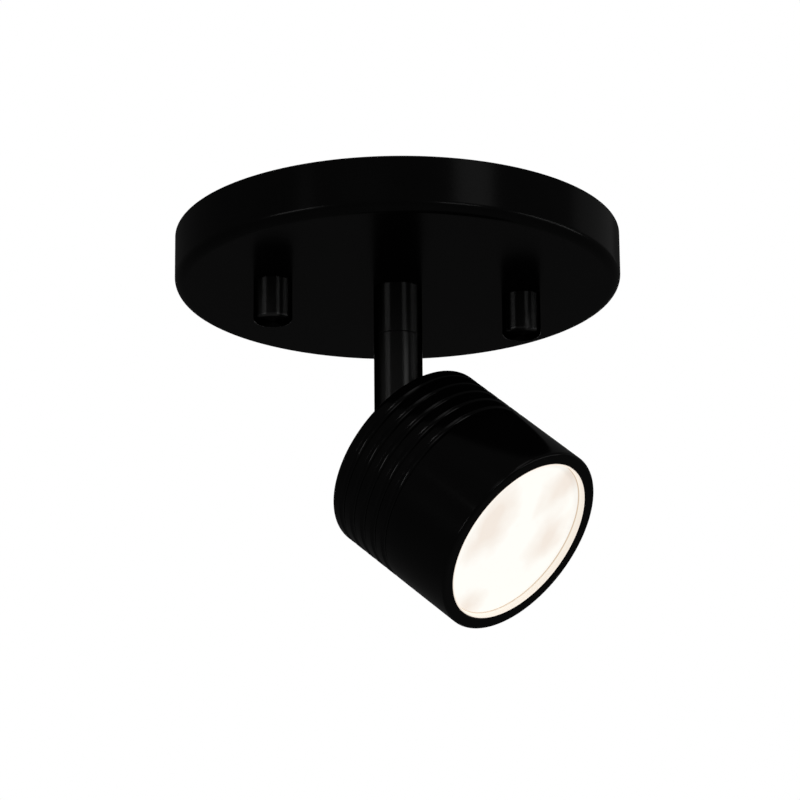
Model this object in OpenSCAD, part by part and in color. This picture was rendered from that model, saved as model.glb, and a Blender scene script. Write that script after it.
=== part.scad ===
// Single-head ceiling spotlight on a round canopy, in millimetres.
// The origin is on the ceiling, at the canopy's centre. +Z points up and +X points along the cap nuts.

/* [Pose] */
// Direction that the head points in, seen from above, from +X
head_turn = -40; // [-165:1:165]
// Angle between the head and straight down
head_tilt = 49; // [0:1:70]

/* [Canopy] */
// Outer diameter of the canopy
canopy_d = 127; // [120:1:160]
// Height of the canopy, from the ceiling to its lower face
canopy_h = 15.7; // [15:0.1:24]
// Thickness of the canopy's sheet
canopy_wall = 1.2; // [0.8:0.1:2]
// Outside radius between the wall and the lower face
canopy_edge_r = 3; // [2:0.5:6]

/* [Mounting strap] */
// Distance between the two screws of the outlet box
box_spacing = 88.9; // [84:0.1:94]
// Width of each slot for a box screw
slot_w = 5; // [4.4:0.1:6]
// Length of each slot from end to end
slot_l = 8; // [6:0.5:9]
// Metal left past each slot
strap_end = 4.5; // [3:0.5:6]
// Width of the strap
strap_w = 18; // [15:0.5:22]
// Thickness of the strap
strap_t = 1.6; // [1.2:0.1:2.5]
// Diameter of the hole for leads in the middle of the strap
strap_hole_d = 10.5; // [8:0.5:13]
// Distance of the ground screw from the strap's middle
ground_x = 18; // [15:0.5:22]
// Diameter of the ground screw's thread
ground_d = 4; // [3:0.1:5]
// Diameter of the ground screw's head
ground_head_d = 8; // [6.5:0.5:9]
// Height of the ground screw's head
ground_head_h = 2.4; // [1.5:0.1:3.5]
// Length of the ground screw's thread
ground_l = 1.6; // [1.2:0.1:1.6]

/* [Studs and cap nuts] */
// Distance between the two studs
stud_spacing = 72; // [66:0.5:74]
// Outer diameter of a stud's thread
stud_d = 4.2; // [3.5:0.1:5]
// Length of stud inside a cap nut
stud_reach = 9; // [6:0.5:9.5]
// Width across the flats of the nut that locks a stud
stud_nut_af = 7.9; // [7.5:0.1:8]
// Height of the nut that locks a stud
stud_nut_h = 3.2; // [2:0.1:4]
// Diameter of a cap nut
cap_d = 11; // [9:0.5:14]
// Length of a cap nut
cap_l = 11.9; // [11:0.1:16]
// Radius of a cap nut's lower edge
cap_edge_r = 1; // [0.3:0.1:2]

/* [Collar and nipple] */
// Outer diameter of the collar and of the stem
stem_d = 13.8; // [13:0.1:16]
// Length of the collar
collar_l = 14.6; // [10:0.1:17]
// Outer diameter of the nipple's thread
nipple_d = 9.8; // [9.2:0.1:10]
// Diameter of the nipple's bore
nipple_bore_d = 7; // [5:0.1:7.4]
// Length of nipple screwed into the collar
nipple_seat = 4.4; // [3:0.1:4.6]
// Length of nipple that stands above the nipple nut
nipple_top = 2.2; // [0.5:0.1:4]
// Width across the flats of the nipple nut
nipple_nut_af = 14; // [13:0.5:16]
// Height of the nipple nut
nipple_nut_h = 3; // [2:0.1:4]
// Outer diameter of the toothed washer
tooth_washer_d = 15.4; // [14:0.1:18]
// Thickness of the toothed washer
tooth_washer_t = 0.8; // [0.5:0.1:1.2]
// Number of teeth on the toothed washer
tooth_n = 12; // [8:1:20]
// Diameter of the bushing's flange
bushing_flange_d = 9.4; // [8.5:0.1:9.8]
// Thickness of the bushing's wall and flange
bushing_t = 0.8; // [0.5:0.1:1]
// Length of the bushing inside the nipple
bushing_l = 4; // [2:0.5:6]

/* [Swivel] */
// Diameter of the spindle that turns in the collar
spindle_d = 7.1; // [6.9:0.1:7.3]
// Diameter of the spindle's thread
spindle_thread_d = 6.4; // [6:0.1:6.8]
// Diameter of the passage for leads
lead_d = 4.2; // [3:0.1:4.4]
// Thickness of the lip at the bottom of the collar
lip_t = 2.5; // [2.3:0.1:3]
// Depth of the stop groove in the lip
stop_groove_h = 1.6; // [1.2:0.1:1.7]
// Distance of the stop pins from the stem's axis
stop_pin_ring_r = 5.15; // [5.1:0.05:5.3]
// Diameter of a stop pin
stop_pin_d = 1.2; // [0.8:0.1:1.2]
// Depth of a stop pin's press hole in the stem
stop_pin_seat = 2; // [1:0.5:4]
// Thickness of the glide washer between collar and stem
glide_t = 0.3; // [0.2:0.1:0.6]
// Distance of the glide washer's rim behind the stem's surface
glide_inset = 0.4; // [0.2:0.1:0.8]
// Thickness of the spring washer
spring_washer_t = 0.6; // [0.4:0.1:0.8]
// Height of the round nut on the spindle
swivel_nut_h = 1.6; // [1.2:0.1:1.8]
// Diameter of the round nut on the spindle
swivel_nut_d = 9.4; // [8.8:0.1:9.6]

/* [Knuckle] */
// Distance from the canopy's lower face down to the tilt pivot
pivot_drop = 48; // [42:1:120]
// Distance from the pivot up to the stem's shoulder
shoulder_up = 10; // [10:0.5:14]
// Thickness of the tongue at the end of the stem
tongue_t = 6; // [5:0.1:7]
// Radius of the tongue's round end
tongue_r = 4.6; // [4:0.1:4.6]
// Diameter of the holes where the leads leave the stem
exit_d = 2.6; // [1.5:0.1:2.8]
// Slant of the holes where the leads leave the stem
exit_slant = 14; // [12:1:16]
// Diameter of the tilt screw
tilt_screw_d = 4; // [3:0.1:4.5]
// Diameter of the tilt screw's head
tilt_head_d = 7; // [6:0.1:8]
// Height of the tilt screw's head
tilt_head_h = 2.2; // [1.5:0.1:3]
// Diameter of the tilt screw's driver socket
tilt_socket_d = 2.9; // [2:0.1:3.4]
// Width across the flats of the tilt nut
tilt_nut_af = 7; // [6.5:0.1:7.2]
// Height of the tilt nut
tilt_nut_h = 3.2; // [2:0.1:3.4]
// Diameter of the friction washers
tilt_washer_d = 8.4; // [7:0.1:9]
// Thickness of the friction washers
tilt_washer_t = 0.4; // [0.2:0.1:0.6]
// Sheet thickness of the tilt bracket
bracket_t = 1.8; // [1.4:0.1:1.9]
// Radius of the bracket's ears around the pivot
ear_r = 4.5; // [4:0.1:5]
// Distance of a bracket screw from the bracket's middle
bracket_screw_y = 11.7; // [11.6:0.1:12.5]
// Half the width of the bracket's foot
foot_r = 4.5; // [4:0.1:5]
// Metal of the foot past a bracket screw
foot_end = 3.5; // [3:0.1:3.8]
// Diameter of the bracket screws
bracket_screw_d = 3; // [2.5:0.1:3.4]
// Diameter of the bracket screws' heads
bracket_head_d = 5.4; // [4.5:0.1:6]
// Height of the bracket screws' heads
bracket_head_h = 1.6; // [1:0.1:1.7]
// Length of a bracket screw under its head
bracket_screw_l = 5; // [4:0.1:6]

/* [Head] */
// Outer diameter of the head
head_d = 56.6; // [54:0.1:70]
// Length of the head
head_len = 46.6; // [44:0.1:80]
// Distance from the pivot to the head's back face
back_gap = 3.4; // [3.4:0.1:4]
// Depth of the pocket that the bracket lies in
pocket_h = 3.3; // [3.2:0.1:3.6]
// Thickness of the head's back wall
back_wall = 9; // [9:0.5:14]
// Width of the black rim around the mouth
rim_wall = 3.45; // [3:0.05:5]
// Step inside the mouth that carries the reflector
ledge_w = 1.25; // [0.8:0.05:2]
// Radius of the head's back edge
back_edge_r = 1.6; // [0.5:0.1:2.5]
// Radius of the head's front edge
front_edge_r = 0.8; // [0.3:0.1:1.5]
// Number of grooves round the head
groove_n = 5; // [1:1:7]
// Distance from the back face to the first groove
groove_first = 3.5; // [2.6:0.1:5]
// Distance from one groove to the next
groove_pitch = 4.3; // [3:0.05:4.6]
// Width of a groove
groove_w = 2.2; // [1:0.1:2.6]
// Depth of a groove, which is shallow and round
groove_h = 0.5; // [0.3:0.1:0.9]
// Distance of the lead hole from the head's side
grommet_inset = 8.5; // [8.1:0.1:8.6]
// Outer diameter of the grommet's flange
grommet_flange_d = 6.4; // [5.5:0.1:7]
// Diameter of the grommet's neck
grommet_neck_d = 4.6; // [3.5:0.1:5]
// Diameter of the grommet's bore
grommet_bore_d = 2.8; // [1.5:0.1:3]
// Thickness of the grommet's flange
grommet_flange_t = 0.8; // [0.5:0.1:1]
// Length of the grommet's neck
grommet_neck_l = 5; // [3:0.5:7]

/* [Light source and lens] */
// Thickness of the thermal pad
pad_t = 0.4; // [0.2:0.1:1]
// Thickness of the board under the light source
board_t = 1.6; // [1:0.1:2]
// Space between the board's rim and the head's wall
board_gap = 1.6; // [0.5:0.1:3]
// Side of the light source's square base
chip_w = 13.5; // [10:0.5:14]
// Thickness of the light source's base
chip_t = 0.9; // [0.5:0.1:1.5]
// Diameter of the glowing disc
glow_d = 11; // [6:0.5:12.5]
// Height of the glowing disc
glow_h = 0.3; // [0.1:0.1:0.6]
// Number of board screws
board_screw_n = 3; // [2:1:4]
// Distance of the board screws from the head's axis
board_screw_r = 17.5; // [16:0.1:18]
// Diameter of the board screws
board_screw_d = 2.5; // [2:0.1:3]
// Length of a board screw under its head
board_screw_l = 5.5; // [4:0.1:6]
// Diameter of the board screws' heads
board_head_d = 4.5; // [4:0.1:5.5]
// Height of the board screws' heads
board_head_h = 1.6; // [1:0.1:2]
// Wall of the reflector
reflector_wall = 1.2; // [0.8:0.1:1.5]
// How fast the reflector opens near its throat; 1 gives a plain cone
reflector_bend = 0.6; // [0.5:0.05:1]
// Thickness of the reflector's flange
reflector_flange_t = 1; // [0.8:0.1:2]
// Space between the reflector's throat and the light source's base
throat_gap = 0.3; // [0.2:0.1:1]
// Radius of the reflector's throat
throat_r = 8.4; // [7.5:0.1:10]
// Width of the lens gasket
gasket_w = 2.2; // [1.5:0.1:2.6]
// Thickness of the lens gasket
gasket_t = 1.3; // [0.8:0.1:2]
// Thickness of the lens
lens_t = 2; // [1.5:0.1:3]
// Distance from the head's front face to the lens
lens_recess = 2.3; // [1.5:0.1:4]
// Thickness of the lens's upturned rim
lens_rim_t = 0.5; // [0.4:0.1:1]
// Distance of the lens's rim behind the front face
lens_rim_back = 0.2; // [0.1:0.1:0.5]
// Number of snap ribs on the lens
snap_n = 3; // [2:1:6]
// Height of a snap rib
snap_h = 0.3; // [0.2:0.05:0.4]
// Width of a snap rib around the lens
snap_w = 6; // [3:0.5:10]
// Thickness of a snap rib along the lens's axis
snap_t = 0.8; // [0.5:0.1:1.1]

/* [Driver] */
// Length of the driver's case
driver_l = 60; // [54:1:64]
// Width of the driver's case
driver_w = 28; // [26:1:30]
// Height of the driver's case with its lid
driver_h = 10.4; // [10:0.1:12]
// Wall of the driver's case
driver_wall = 1.2; // [0.8:0.1:1.6]
// Thickness of the driver's lid
driver_lid_t = 1.2; // [0.8:0.1:1.6]
// Depth of the lid's lip inside the case
driver_lip_h = 1; // [0.5:0.1:1.2]
// Space between the driver and the nipple nut or the strap
driver_gap = 3; // [1.5:0.5:4]
// Thickness of the foam pad under the driver
driver_pad_t = 1; // [0.5:0.1:1.2]
// Distance of the foam pad's rim inside the case's edge
driver_pad_inset = 3; // [1:0.5:6]
// Height of the board above the case's floor
driver_board_up = 1.2; // [1:0.1:2]
// Thickness of the driver's board
driver_board_t = 1; // [0.8:0.1:1.6]
// Diameter of the posts that carry the board
driver_post_d = 3; // [2:0.5:4]
// Length and width of the transformer
transformer_w = 12; // [10:0.5:14]
// Height of the transformer
transformer_h = 4.6; // [3:0.1:4.8]
// Diameter of the capacitors
capacitor_d = 4.4; // [3:0.1:4.6]
// Length of the capacitors
capacitor_l = 9; // [6:0.5:10]
// Width of the terminal block
terminal_w = 15; // [12:0.5:16]
// Length of the terminal block
terminal_l = 8; // [6:0.5:10]
// Height of the terminal block
terminal_h = 5; // [4:0.1:5.2]
// Number of wire holes in the terminal block
terminal_n = 3; // [2:1:3]
// Diameter of a wire hole in the terminal block
terminal_hole_d = 2.6; // [2:0.1:3]
// Depth of a wire hole in the terminal block
terminal_hole_l = 6; // [4:0.5:7]

/* [Clearances] */
// Space between a screw or stud and its threaded hole
thread_gap = 0.05; // [0.02:0.01:0.08]
// Space between a turning shaft and its bearing
run_gap = 0.05; // [0.02:0.01:0.08]
// Space around a loose fit
free_gap = 0.3; // [0.2:0.05:0.35]
// Space around a pressed or bonded piece
seat_gap = 0.1; // [0.05:0.01:0.12]

/* [Hidden] */
$fn = 96;
ARC_STEPS = 10;

canopy_r = canopy_d / 2;
floor_z = -canopy_h + canopy_wall;

strap_l = box_spacing + slot_l + 2 * strap_end;
stud_hole_r = stud_d / 2 + thread_gap;
cap_hole_l = stud_reach + free_gap;

stem_r = stem_d / 2;
collar_top = -canopy_h;
collar_bottom = collar_top - collar_l;
nipple_hole_r = nipple_d / 2 + thread_gap;
nipple_nut_z = floor_z + tooth_washer_t;
nipple_top_z = nipple_nut_z + nipple_nut_h + nipple_top;
lip_z = collar_bottom + lip_t;
swivel_nut_z = lip_z + spring_washer_t;
spindle_top = swivel_nut_z + swivel_nut_h + seat_gap;
spindle_hole_r = spindle_d / 2 + run_gap;
stem_top = collar_bottom - glide_t;
stop_groove_in = stop_pin_ring_r - stop_pin_d / 2 - seat_gap;
stop_groove_out = stop_pin_ring_r + stop_pin_d / 2 + seat_gap;

pivot_z = -canopy_h - pivot_drop;
shoulder_z = pivot_z + shoulder_up;
tongue_half = tongue_t / 2;
tilt_hole_r = tilt_screw_d / 2 + run_gap;
ear_in = tongue_half + tilt_washer_t + run_gap;
ear_out = ear_in + bracket_t;
foot_z = pocket_h - bracket_t;
foot_reach = bracket_screw_y + foot_end;

head_r = head_d / 2;
groove_r = (pow(groove_w / 2, 2) + pow(groove_h, 2)) / (2 * groove_h);
groove_bend = asin(groove_w / 2 / groove_r);
mouth_r = head_r - rim_wall;
cavity_r = mouth_r - ledge_w;
board_z = back_wall + pad_t;
chip_z = board_z + board_t;
throat_z = chip_z + chip_t + throat_gap;
lens_z = head_len - lens_recess - lens_t;
gasket_z = lens_z - gasket_t;
ledge_z = gasket_z - reflector_flange_t;
lens_r = mouth_r - seat_gap;
board_r = cavity_r - board_gap;
reflector_mouth_r = cavity_r - reflector_wall - seat_gap;
grommet_y = max(head_r - grommet_inset, foot_reach + free_gap + grommet_flange_d / 2 + seat_gap);
snap_z = lens_z + (lens_t - snap_t) / 2;

driver_y = max(strap_w / 2, nipple_nut_af / sqrt(3)) + driver_gap + driver_w / 2;
driver_z = floor_z + driver_pad_t;
driver_inside_l = driver_l - 2 * driver_wall;
driver_inside_w = driver_w - 2 * driver_wall;
driver_board_z = driver_z + driver_wall + driver_board_up;
driver_part_z = driver_board_z + driver_board_t;
driver_body_h = driver_h - driver_lid_t;
driver_part_x = driver_inside_l / 6;
driver_post_x = driver_inside_l / 2 - driver_post_d;
driver_post_y = driver_inside_w / 2 - driver_post_d;
terminal_x = -driver_l / 2 + driver_wall + terminal_l / 2 + free_gap;
terminal_step = terminal_w / terminal_n;

// Points of an arc about (x, y), from one angle to another.
function arc(x, y, r, from, to) =
    [for (i = [0 : ARC_STEPS])
        let (a = from + (to - from) * i / ARC_STEPS)
        [x + r * cos(a), y + r * sin(a)]];

// Point of the reflector's inside, with t from 0 at the throat to 1 at the mouth.
function reflector_point(t, out) = [
    throat_r + (reflector_mouth_r - throat_r) * pow(t, reflector_bend) + out,
    throat_z + (ledge_z - throat_z) * t
];

module ring(r_out, r_in, h) {
    difference() {
        cylinder(r = r_out, h = h);
        translate([0, 0, -1])
            cylinder(r = r_in, h = h + 2);
    }
}

module hex_nut(af, h, r_in) {
    difference() {
        cylinder(r = af / sqrt(3), h = h, $fn = 6);
        translate([0, 0, -1])
            cylinder(r = r_in, h = h + 2);
    }
}

// Two copies, at +distance and -distance along X.
module pair_x(distance) {
    for (side = [-1, 1])
        translate([side * distance, 0, 0])
            children();
}

// Two copies, at +distance and -distance along Y.
module pair_y(distance) {
    for (side = [-1, 1])
        translate([0, side * distance, 0])
            children();
}

// A flat plate with round ends, centred, with its length along Y.
module oblong(reach, r, h) {
    translate([-r, -(reach - r), 0])
        cube([2 * r, 2 * (reach - r), h]);
    pair_y(reach - r)
        cylinder(r = r, h = h);
}

// The stem's own frame: X is the way the head points, and Z stays up.
module turned() {
    rotate([0, 0, head_turn])
        children();
}

// The head's own frame: Z runs forward from its back face, and Y lies along the tilt screw.
module headed() {
    turned()
        translate([0, 0, pivot_z])
            rotate([0, 180 - head_tilt, 0])
                translate([0, 0, back_gap])
                    children();
}

// Across the knuckle: Z runs along the tilt screw, from the middle of the tongue.
module across() {
    headed()
        translate([0, 0, -back_gap])
            rotate([-90, 0, 0])
                children();
}

// Spun steel pan with a hole for the nipple and two for the studs.
module canopy() {
    inner_edge_r = max(canopy_edge_r - canopy_wall, 0.1);
    color([0.04, 0.04, 0.045])
        difference() {
            rotate_extrude()
                polygon(concat(
                    [[nipple_hole_r + free_gap, floor_z], [nipple_hole_r + free_gap, -canopy_h]],
                    arc(canopy_r - canopy_edge_r, -canopy_h + canopy_edge_r, canopy_edge_r, -90, 0),
                    [[canopy_r, 0], [canopy_r - canopy_wall, 0]],
                    arc(canopy_r - canopy_edge_r, -canopy_h + canopy_edge_r, inner_edge_r, 0, -90)
                ));
            pair_x(stud_spacing / 2)
                translate([0, 0, -canopy_h - 1])
                    cylinder(r = stud_d / 2 + free_gap, h = canopy_wall + 2);
        }
}

// Steel strap that is screwed to the outlet box and carries the studs.
module mounting_strap() {
    color([0.72, 0.72, 0.7])
        translate([0, 0, -strap_t])
            difference() {
                translate([-strap_l / 2, -strap_w / 2, 0])
                    cube([strap_l, strap_w, strap_t]);
                translate([0, 0, -1])
                    cylinder(r = strap_hole_d / 2, h = strap_t + 2);
                pair_x(stud_spacing / 2)
                    translate([0, 0, -1])
                        cylinder(r = stud_hole_r, h = strap_t + 2);
                translate([-ground_x, 0, -1])
                    cylinder(r = ground_d / 2 + thread_gap, h = strap_t + 2);
                pair_x(box_spacing / 2)
                    translate([0, 0, -1])
                        rotate([0, 0, 90])
                            oblong(slot_l / 2, slot_w / 2, strap_t + 2);
            }
}

module studs() {
    stud_l = canopy_h + stud_reach;
    color([0.7, 0.7, 0.68])
        pair_x(stud_spacing / 2)
            translate([0, 0, -stud_l])
                cylinder(r = stud_d / 2, h = stud_l);
}

module stud_nuts() {
    color([0.75, 0.75, 0.72])
        pair_x(stud_spacing / 2)
            translate([0, 0, -strap_t - stud_nut_h])
                rotate([0, 0, 30])
                    hex_nut(stud_nut_af, stud_nut_h, stud_hole_r);
}

// Blind barrel nuts that hold the canopy up against the ceiling.
module cap_nuts() {
    color([0.05, 0.05, 0.055])
        pair_x(stud_spacing / 2)
            translate([0, 0, -canopy_h - cap_l])
                difference() {
                    rotate_extrude()
                        polygon(concat(
                            [[0, cap_l], [0, 0]],
                            arc(cap_d / 2 - cap_edge_r, cap_edge_r, cap_edge_r, -90, 0),
                            [[cap_d / 2, cap_l]]
                        ));
                    translate([0, 0, cap_l - cap_hole_l])
                        cylinder(r = stud_hole_r, h = cap_hole_l + 1);
                }
}

module ground_screw() {
    slot_h = ground_head_h / 2;
    color([0.1, 0.5, 0.25])
        translate([-ground_x, 0, -strap_t])
            difference() {
                union() {
                    cylinder(r = ground_d / 2, h = ground_l);
                    translate([0, 0, -ground_head_h])
                        cylinder(r = ground_head_d / 2, h = ground_head_h);
                }
                translate([-ground_head_d, -free_gap * 2, -ground_head_h - 1])
                    cube([ground_head_d * 2, free_gap * 4, slot_h + 1]);
            }
}

// Hollow threaded tube that joins the collar to the canopy and lets the leads through.
module nipple() {
    nipple_bottom = collar_top - nipple_seat;
    color([0.78, 0.68, 0.38])
        translate([0, 0, nipple_bottom])
            ring(nipple_d / 2, nipple_bore_d / 2, nipple_top_z - nipple_bottom);
}

module toothed_washer() {
    tooth_l = (tooth_washer_d - nipple_nut_af) / 2;
    color([0.7, 0.7, 0.68])
        translate([0, 0, floor_z])
            difference() {
                ring(tooth_washer_d / 2, nipple_hole_r + seat_gap, tooth_washer_t);
                for (i = [0 : tooth_n - 1])
                    rotate([0, 0, (i + 0.5) * 360 / tooth_n])
                        translate([tooth_washer_d / 2, 0, -1])
                            cylinder(r = tooth_l, h = tooth_washer_t + 2, $fn = 24);
            }
}

module nipple_nut() {
    color([0.78, 0.68, 0.38])
        translate([0, 0, nipple_nut_z])
            hex_nut(nipple_nut_af, nipple_nut_h, nipple_hole_r);
}

// Plastic bushing that keeps the leads off the nipple's edge.
module nipple_bushing() {
    skirt_r = nipple_bore_d / 2 - seat_gap;
    color([0.85, 0.85, 0.82])
        difference() {
            union() {
                translate([0, 0, nipple_top_z])
                    cylinder(r = bushing_flange_d / 2, h = bushing_t);
                translate([0, 0, nipple_top_z - bushing_l])
                    cylinder(r = skirt_r, h = bushing_l + bushing_t);
            }
            translate([0, 0, nipple_top_z - bushing_l - 1])
                cylinder(r = skirt_r - bushing_t, h = bushing_l + bushing_t + 2);
        }
}

// Fixed upper part of the stem, with the swivel's bearing and its stop groove.
module collar() {
    color([0.045, 0.045, 0.05])
        difference() {
            translate([0, 0, collar_bottom])
                cylinder(r = stem_r, h = collar_l);
            translate([0, 0, lip_z])
                cylinder(r = nipple_hole_r, h = collar_l);
            translate([0, 0, collar_bottom - 1])
                cylinder(r = spindle_hole_r, h = collar_l);
            translate([0, 0, collar_bottom - 1])
                ring(stop_groove_out, stop_groove_in, stop_groove_h + 1);
            turned()
                translate([-stop_pin_ring_r, 0, collar_bottom])
                    cylinder(r = stop_pin_d / 2, h = stop_groove_h + (lip_t - stop_groove_h) / 2);
        }
}

// Pin in the collar that ends the stem's turn both ways.
module collar_stop_pin() {
    color([0.7, 0.7, 0.68])
        turned()
            translate([-stop_pin_ring_r, 0, collar_bottom + seat_gap])
                cylinder(r = stop_pin_d / 2, h = (stop_groove_h + lip_t) / 2 - seat_gap);
}

module driver_at() {
    translate([0, driver_y, 0])
        children();
}

module driver_pad() {
    pad_l = driver_l - 2 * driver_pad_inset;
    pad_w = driver_w - 2 * driver_pad_inset;
    color([0.9, 0.9, 0.88])
        driver_at()
            translate([-pad_l / 2, -pad_w / 2, floor_z])
                cube([pad_l, pad_w, driver_pad_t]);
}

// Open tray, with a window at one end for the terminals and a hole at the other for the lamp's leads.
module driver_case() {
    window_w = terminal_w + 2 * free_gap;
    color([0.92, 0.92, 0.9])
        driver_at()
            difference() {
                union() {
                    difference() {
                        translate([-driver_l / 2, -driver_w / 2, driver_z])
                            cube([driver_l, driver_w, driver_body_h]);
                        translate([-driver_inside_l / 2, -driver_inside_w / 2, driver_z + driver_wall])
                            cube([driver_inside_l, driver_inside_w, driver_h]);
                    }
                    pair_x(driver_post_x)
                        pair_y(driver_post_y)
                            translate([0, 0, driver_z + driver_wall / 2])
                                cylinder(r = driver_post_d / 2, h = driver_board_z - driver_z - driver_wall / 2);
                }
                translate([-driver_l / 2 - 1, -window_w / 2, driver_part_z])
                    cube([driver_wall + 2, window_w, driver_h]);
                translate([driver_l / 2 - driver_wall - 1, 0, driver_part_z + exit_d])
                    rotate([0, 90, 0])
                        cylinder(r = exit_d, h = driver_wall + 2);
            }
}

module driver_lid() {
    lip_l = driver_inside_l - 2 * seat_gap;
    lip_w = driver_inside_w - 2 * seat_gap;
    color([0.88, 0.88, 0.86])
        driver_at()
            translate([0, 0, driver_z + driver_body_h]) {
                translate([-driver_l / 2, -driver_w / 2, 0])
                    cube([driver_l, driver_w, driver_lid_t]);
                difference() {
                    translate([-lip_l / 2, -lip_w / 2, -driver_lip_h])
                        cube([lip_l, lip_w, driver_lip_h + driver_lid_t / 2]);
                    translate([-lip_l / 2 + driver_wall, -lip_w / 2 + driver_wall, -driver_lip_h - 1])
                        cube([lip_l - 2 * driver_wall, lip_w - 2 * driver_wall, driver_lip_h + 1]);
                    translate([-lip_l / 2 - 1, -terminal_w / 2 - 1, -driver_lip_h - 1])
                        cube([driver_wall + 2, terminal_w + 2, driver_lip_h + 1]);
                }
            }
}

module driver_board() {
    board_l = driver_inside_l - 2 * free_gap;
    board_w = driver_inside_w - 2 * free_gap;
    color([0.1, 0.4, 0.22])
        driver_at()
            translate([-board_l / 2, -board_w / 2, driver_board_z])
                cube([board_l, board_w, driver_board_t]);
}

module driver_transformer() {
    core_h = transformer_h * 0.7;
    color([0.75, 0.6, 0.15])
        driver_at()
            translate([0, 0, driver_part_z])
                union() {
                    translate([-transformer_w / 2, -transformer_w / 2, 0])
                        cube([transformer_w, transformer_w, core_h]);
                    translate([-transformer_w / 2, -transformer_w / 4, 0])
                        cube([transformer_w, transformer_w / 2, transformer_h]);
                }
}

module driver_capacitors() {
    color([0.1, 0.1, 0.12])
        driver_at()
            pair_y(driver_inside_w / 4)
                translate([driver_part_x + transformer_w / 4, 0, driver_part_z + capacitor_d / 2])
                    rotate([0, 90, 0])
                        cylinder(r = capacitor_d / 2, h = capacitor_l);
}

// Push-in terminals for the supply.
module driver_terminals() {
    color([0.85, 0.35, 0.1])
        driver_at()
            translate([terminal_x, 0, driver_part_z])
                difference() {
                    translate([-terminal_l / 2, -terminal_w / 2, 0])
                        cube([terminal_l, terminal_w, terminal_h]);
                    for (i = [0 : terminal_n - 1])
                        translate([-terminal_l / 2 - 1, (i + 0.5) * terminal_step - terminal_w / 2, terminal_h / 2])
                            rotate([0, 90, 0])
                                cylinder(r = terminal_hole_d / 2, h = terminal_hole_l + 1);
                }
}

// Turned bar: a spindle in the collar on top, and a flat tongue for the tilt screw below.
module stem() {
    flat_h = shoulder_up + tongue_r + 1;
    lead_bottom = shoulder_z + (stem_r - tongue_half) / 2;
    exit_y = (stem_r + tongue_half) / 2;
    color([0.045, 0.045, 0.05])
        turned()
            difference() {
                union() {
                    translate([0, 0, shoulder_z])
                        cylinder(r = stem_r, h = stem_top - shoulder_z);
                    translate([0, 0, stem_top - 1])
                        cylinder(r = spindle_d / 2, h = swivel_nut_z - stem_top + 1 - seat_gap);
                    translate([0, 0, stem_top - 1])
                        cylinder(r = spindle_thread_d / 2, h = spindle_top - stem_top + 1);
                    translate([-tongue_r, -tongue_half, pivot_z])
                        cube([2 * tongue_r, tongue_t, shoulder_up + 1]);
                    translate([0, tongue_half, pivot_z])
                        rotate([90, 0, 0])
                            cylinder(r = tongue_r, h = tongue_t);
                }
                translate([0, -tongue_t, pivot_z])
                    rotate([-90, 0, 0])
                        cylinder(r = tilt_hole_r, h = 2 * tongue_t);
                translate([0, 0, lead_bottom + flat_h / 2])
                    cylinder(r = lead_d / 2, h = spindle_top - lead_bottom);
                for (side = [-1, 1])
                    translate([0, side * exit_y, shoulder_z])
                        rotate([side * exit_slant, 0, 0])
                            translate([0, 0, -1])
                                cylinder(r = exit_d / 2, h = flat_h);
                translate([stop_pin_ring_r, 0, stem_top - stop_pin_seat])
                    cylinder(r = stop_pin_d / 2, h = stop_pin_seat + 1);
            }
}

// Pin in the stem that runs in the collar's groove.
module stem_stop_pin() {
    pin_l = stop_pin_seat + glide_t + stop_groove_h - free_gap;
    color([0.7, 0.7, 0.68])
        turned()
            translate([stop_pin_ring_r, 0, stem_top - stop_pin_seat])
                cylinder(r = stop_pin_d / 2, h = pin_l);
}

module glide_washer() {
    color([0.15, 0.15, 0.15])
        turned()
            difference() {
                translate([0, 0, stem_top])
                    ring(stem_r - glide_inset, spindle_hole_r + seat_gap, glide_t);
                translate([stop_pin_ring_r, 0, stem_top - 1])
                    cylinder(r = stop_pin_d / 2 + seat_gap, h = glide_t + 2);
            }
}

// Spring washer that gives the swivel its friction.
module spring_washer() {
    color([0.65, 0.65, 0.66])
        translate([0, 0, lip_z])
            ring(swivel_nut_d / 2, spindle_d / 2 + seat_gap, spring_washer_t);
}

module swivel_nut() {
    notch = swivel_nut_d / 6;
    color([0.78, 0.68, 0.38])
        turned()
            translate([0, 0, swivel_nut_z])
                difference() {
                    ring(swivel_nut_d / 2, spindle_thread_d / 2 + thread_gap, swivel_nut_h);
                    for (side = [-1, 1])
                        translate([side * swivel_nut_d / 2 - notch / 2, -notch / 2, swivel_nut_h / 2])
                            cube([notch, notch, swivel_nut_h]);
                }
}

// Pressed steel bracket: a foot in the head's pocket and two ears beside the tongue.
module tilt_bracket() {
    color([0.06, 0.06, 0.065])
        difference() {
            union() {
                headed()
                    translate([0, 0, foot_z])
                        oblong(foot_reach, foot_r, bracket_t);
                for (side = [-1, 1])
                    across()
                        translate([0, 0, side > 0 ? ear_in : -ear_out])
                            cylinder(r = ear_r, h = bracket_t);
                headed()
                    for (side = [-1, 1])
                        translate([-ear_r, side > 0 ? ear_in : -ear_out, -back_gap])
                            cube([2 * ear_r, bracket_t, back_gap + foot_z + bracket_t / 2]);
            }
            across()
                translate([0, 0, -ear_out - 1])
                    cylinder(r = tilt_hole_r, h = 2 * ear_out + 2);
            headed()
                pair_y(bracket_screw_y)
                    translate([0, 0, foot_z - 1])
                        cylinder(r = bracket_screw_d / 2 + seat_gap, h = bracket_t + 2);
        }
}

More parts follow.
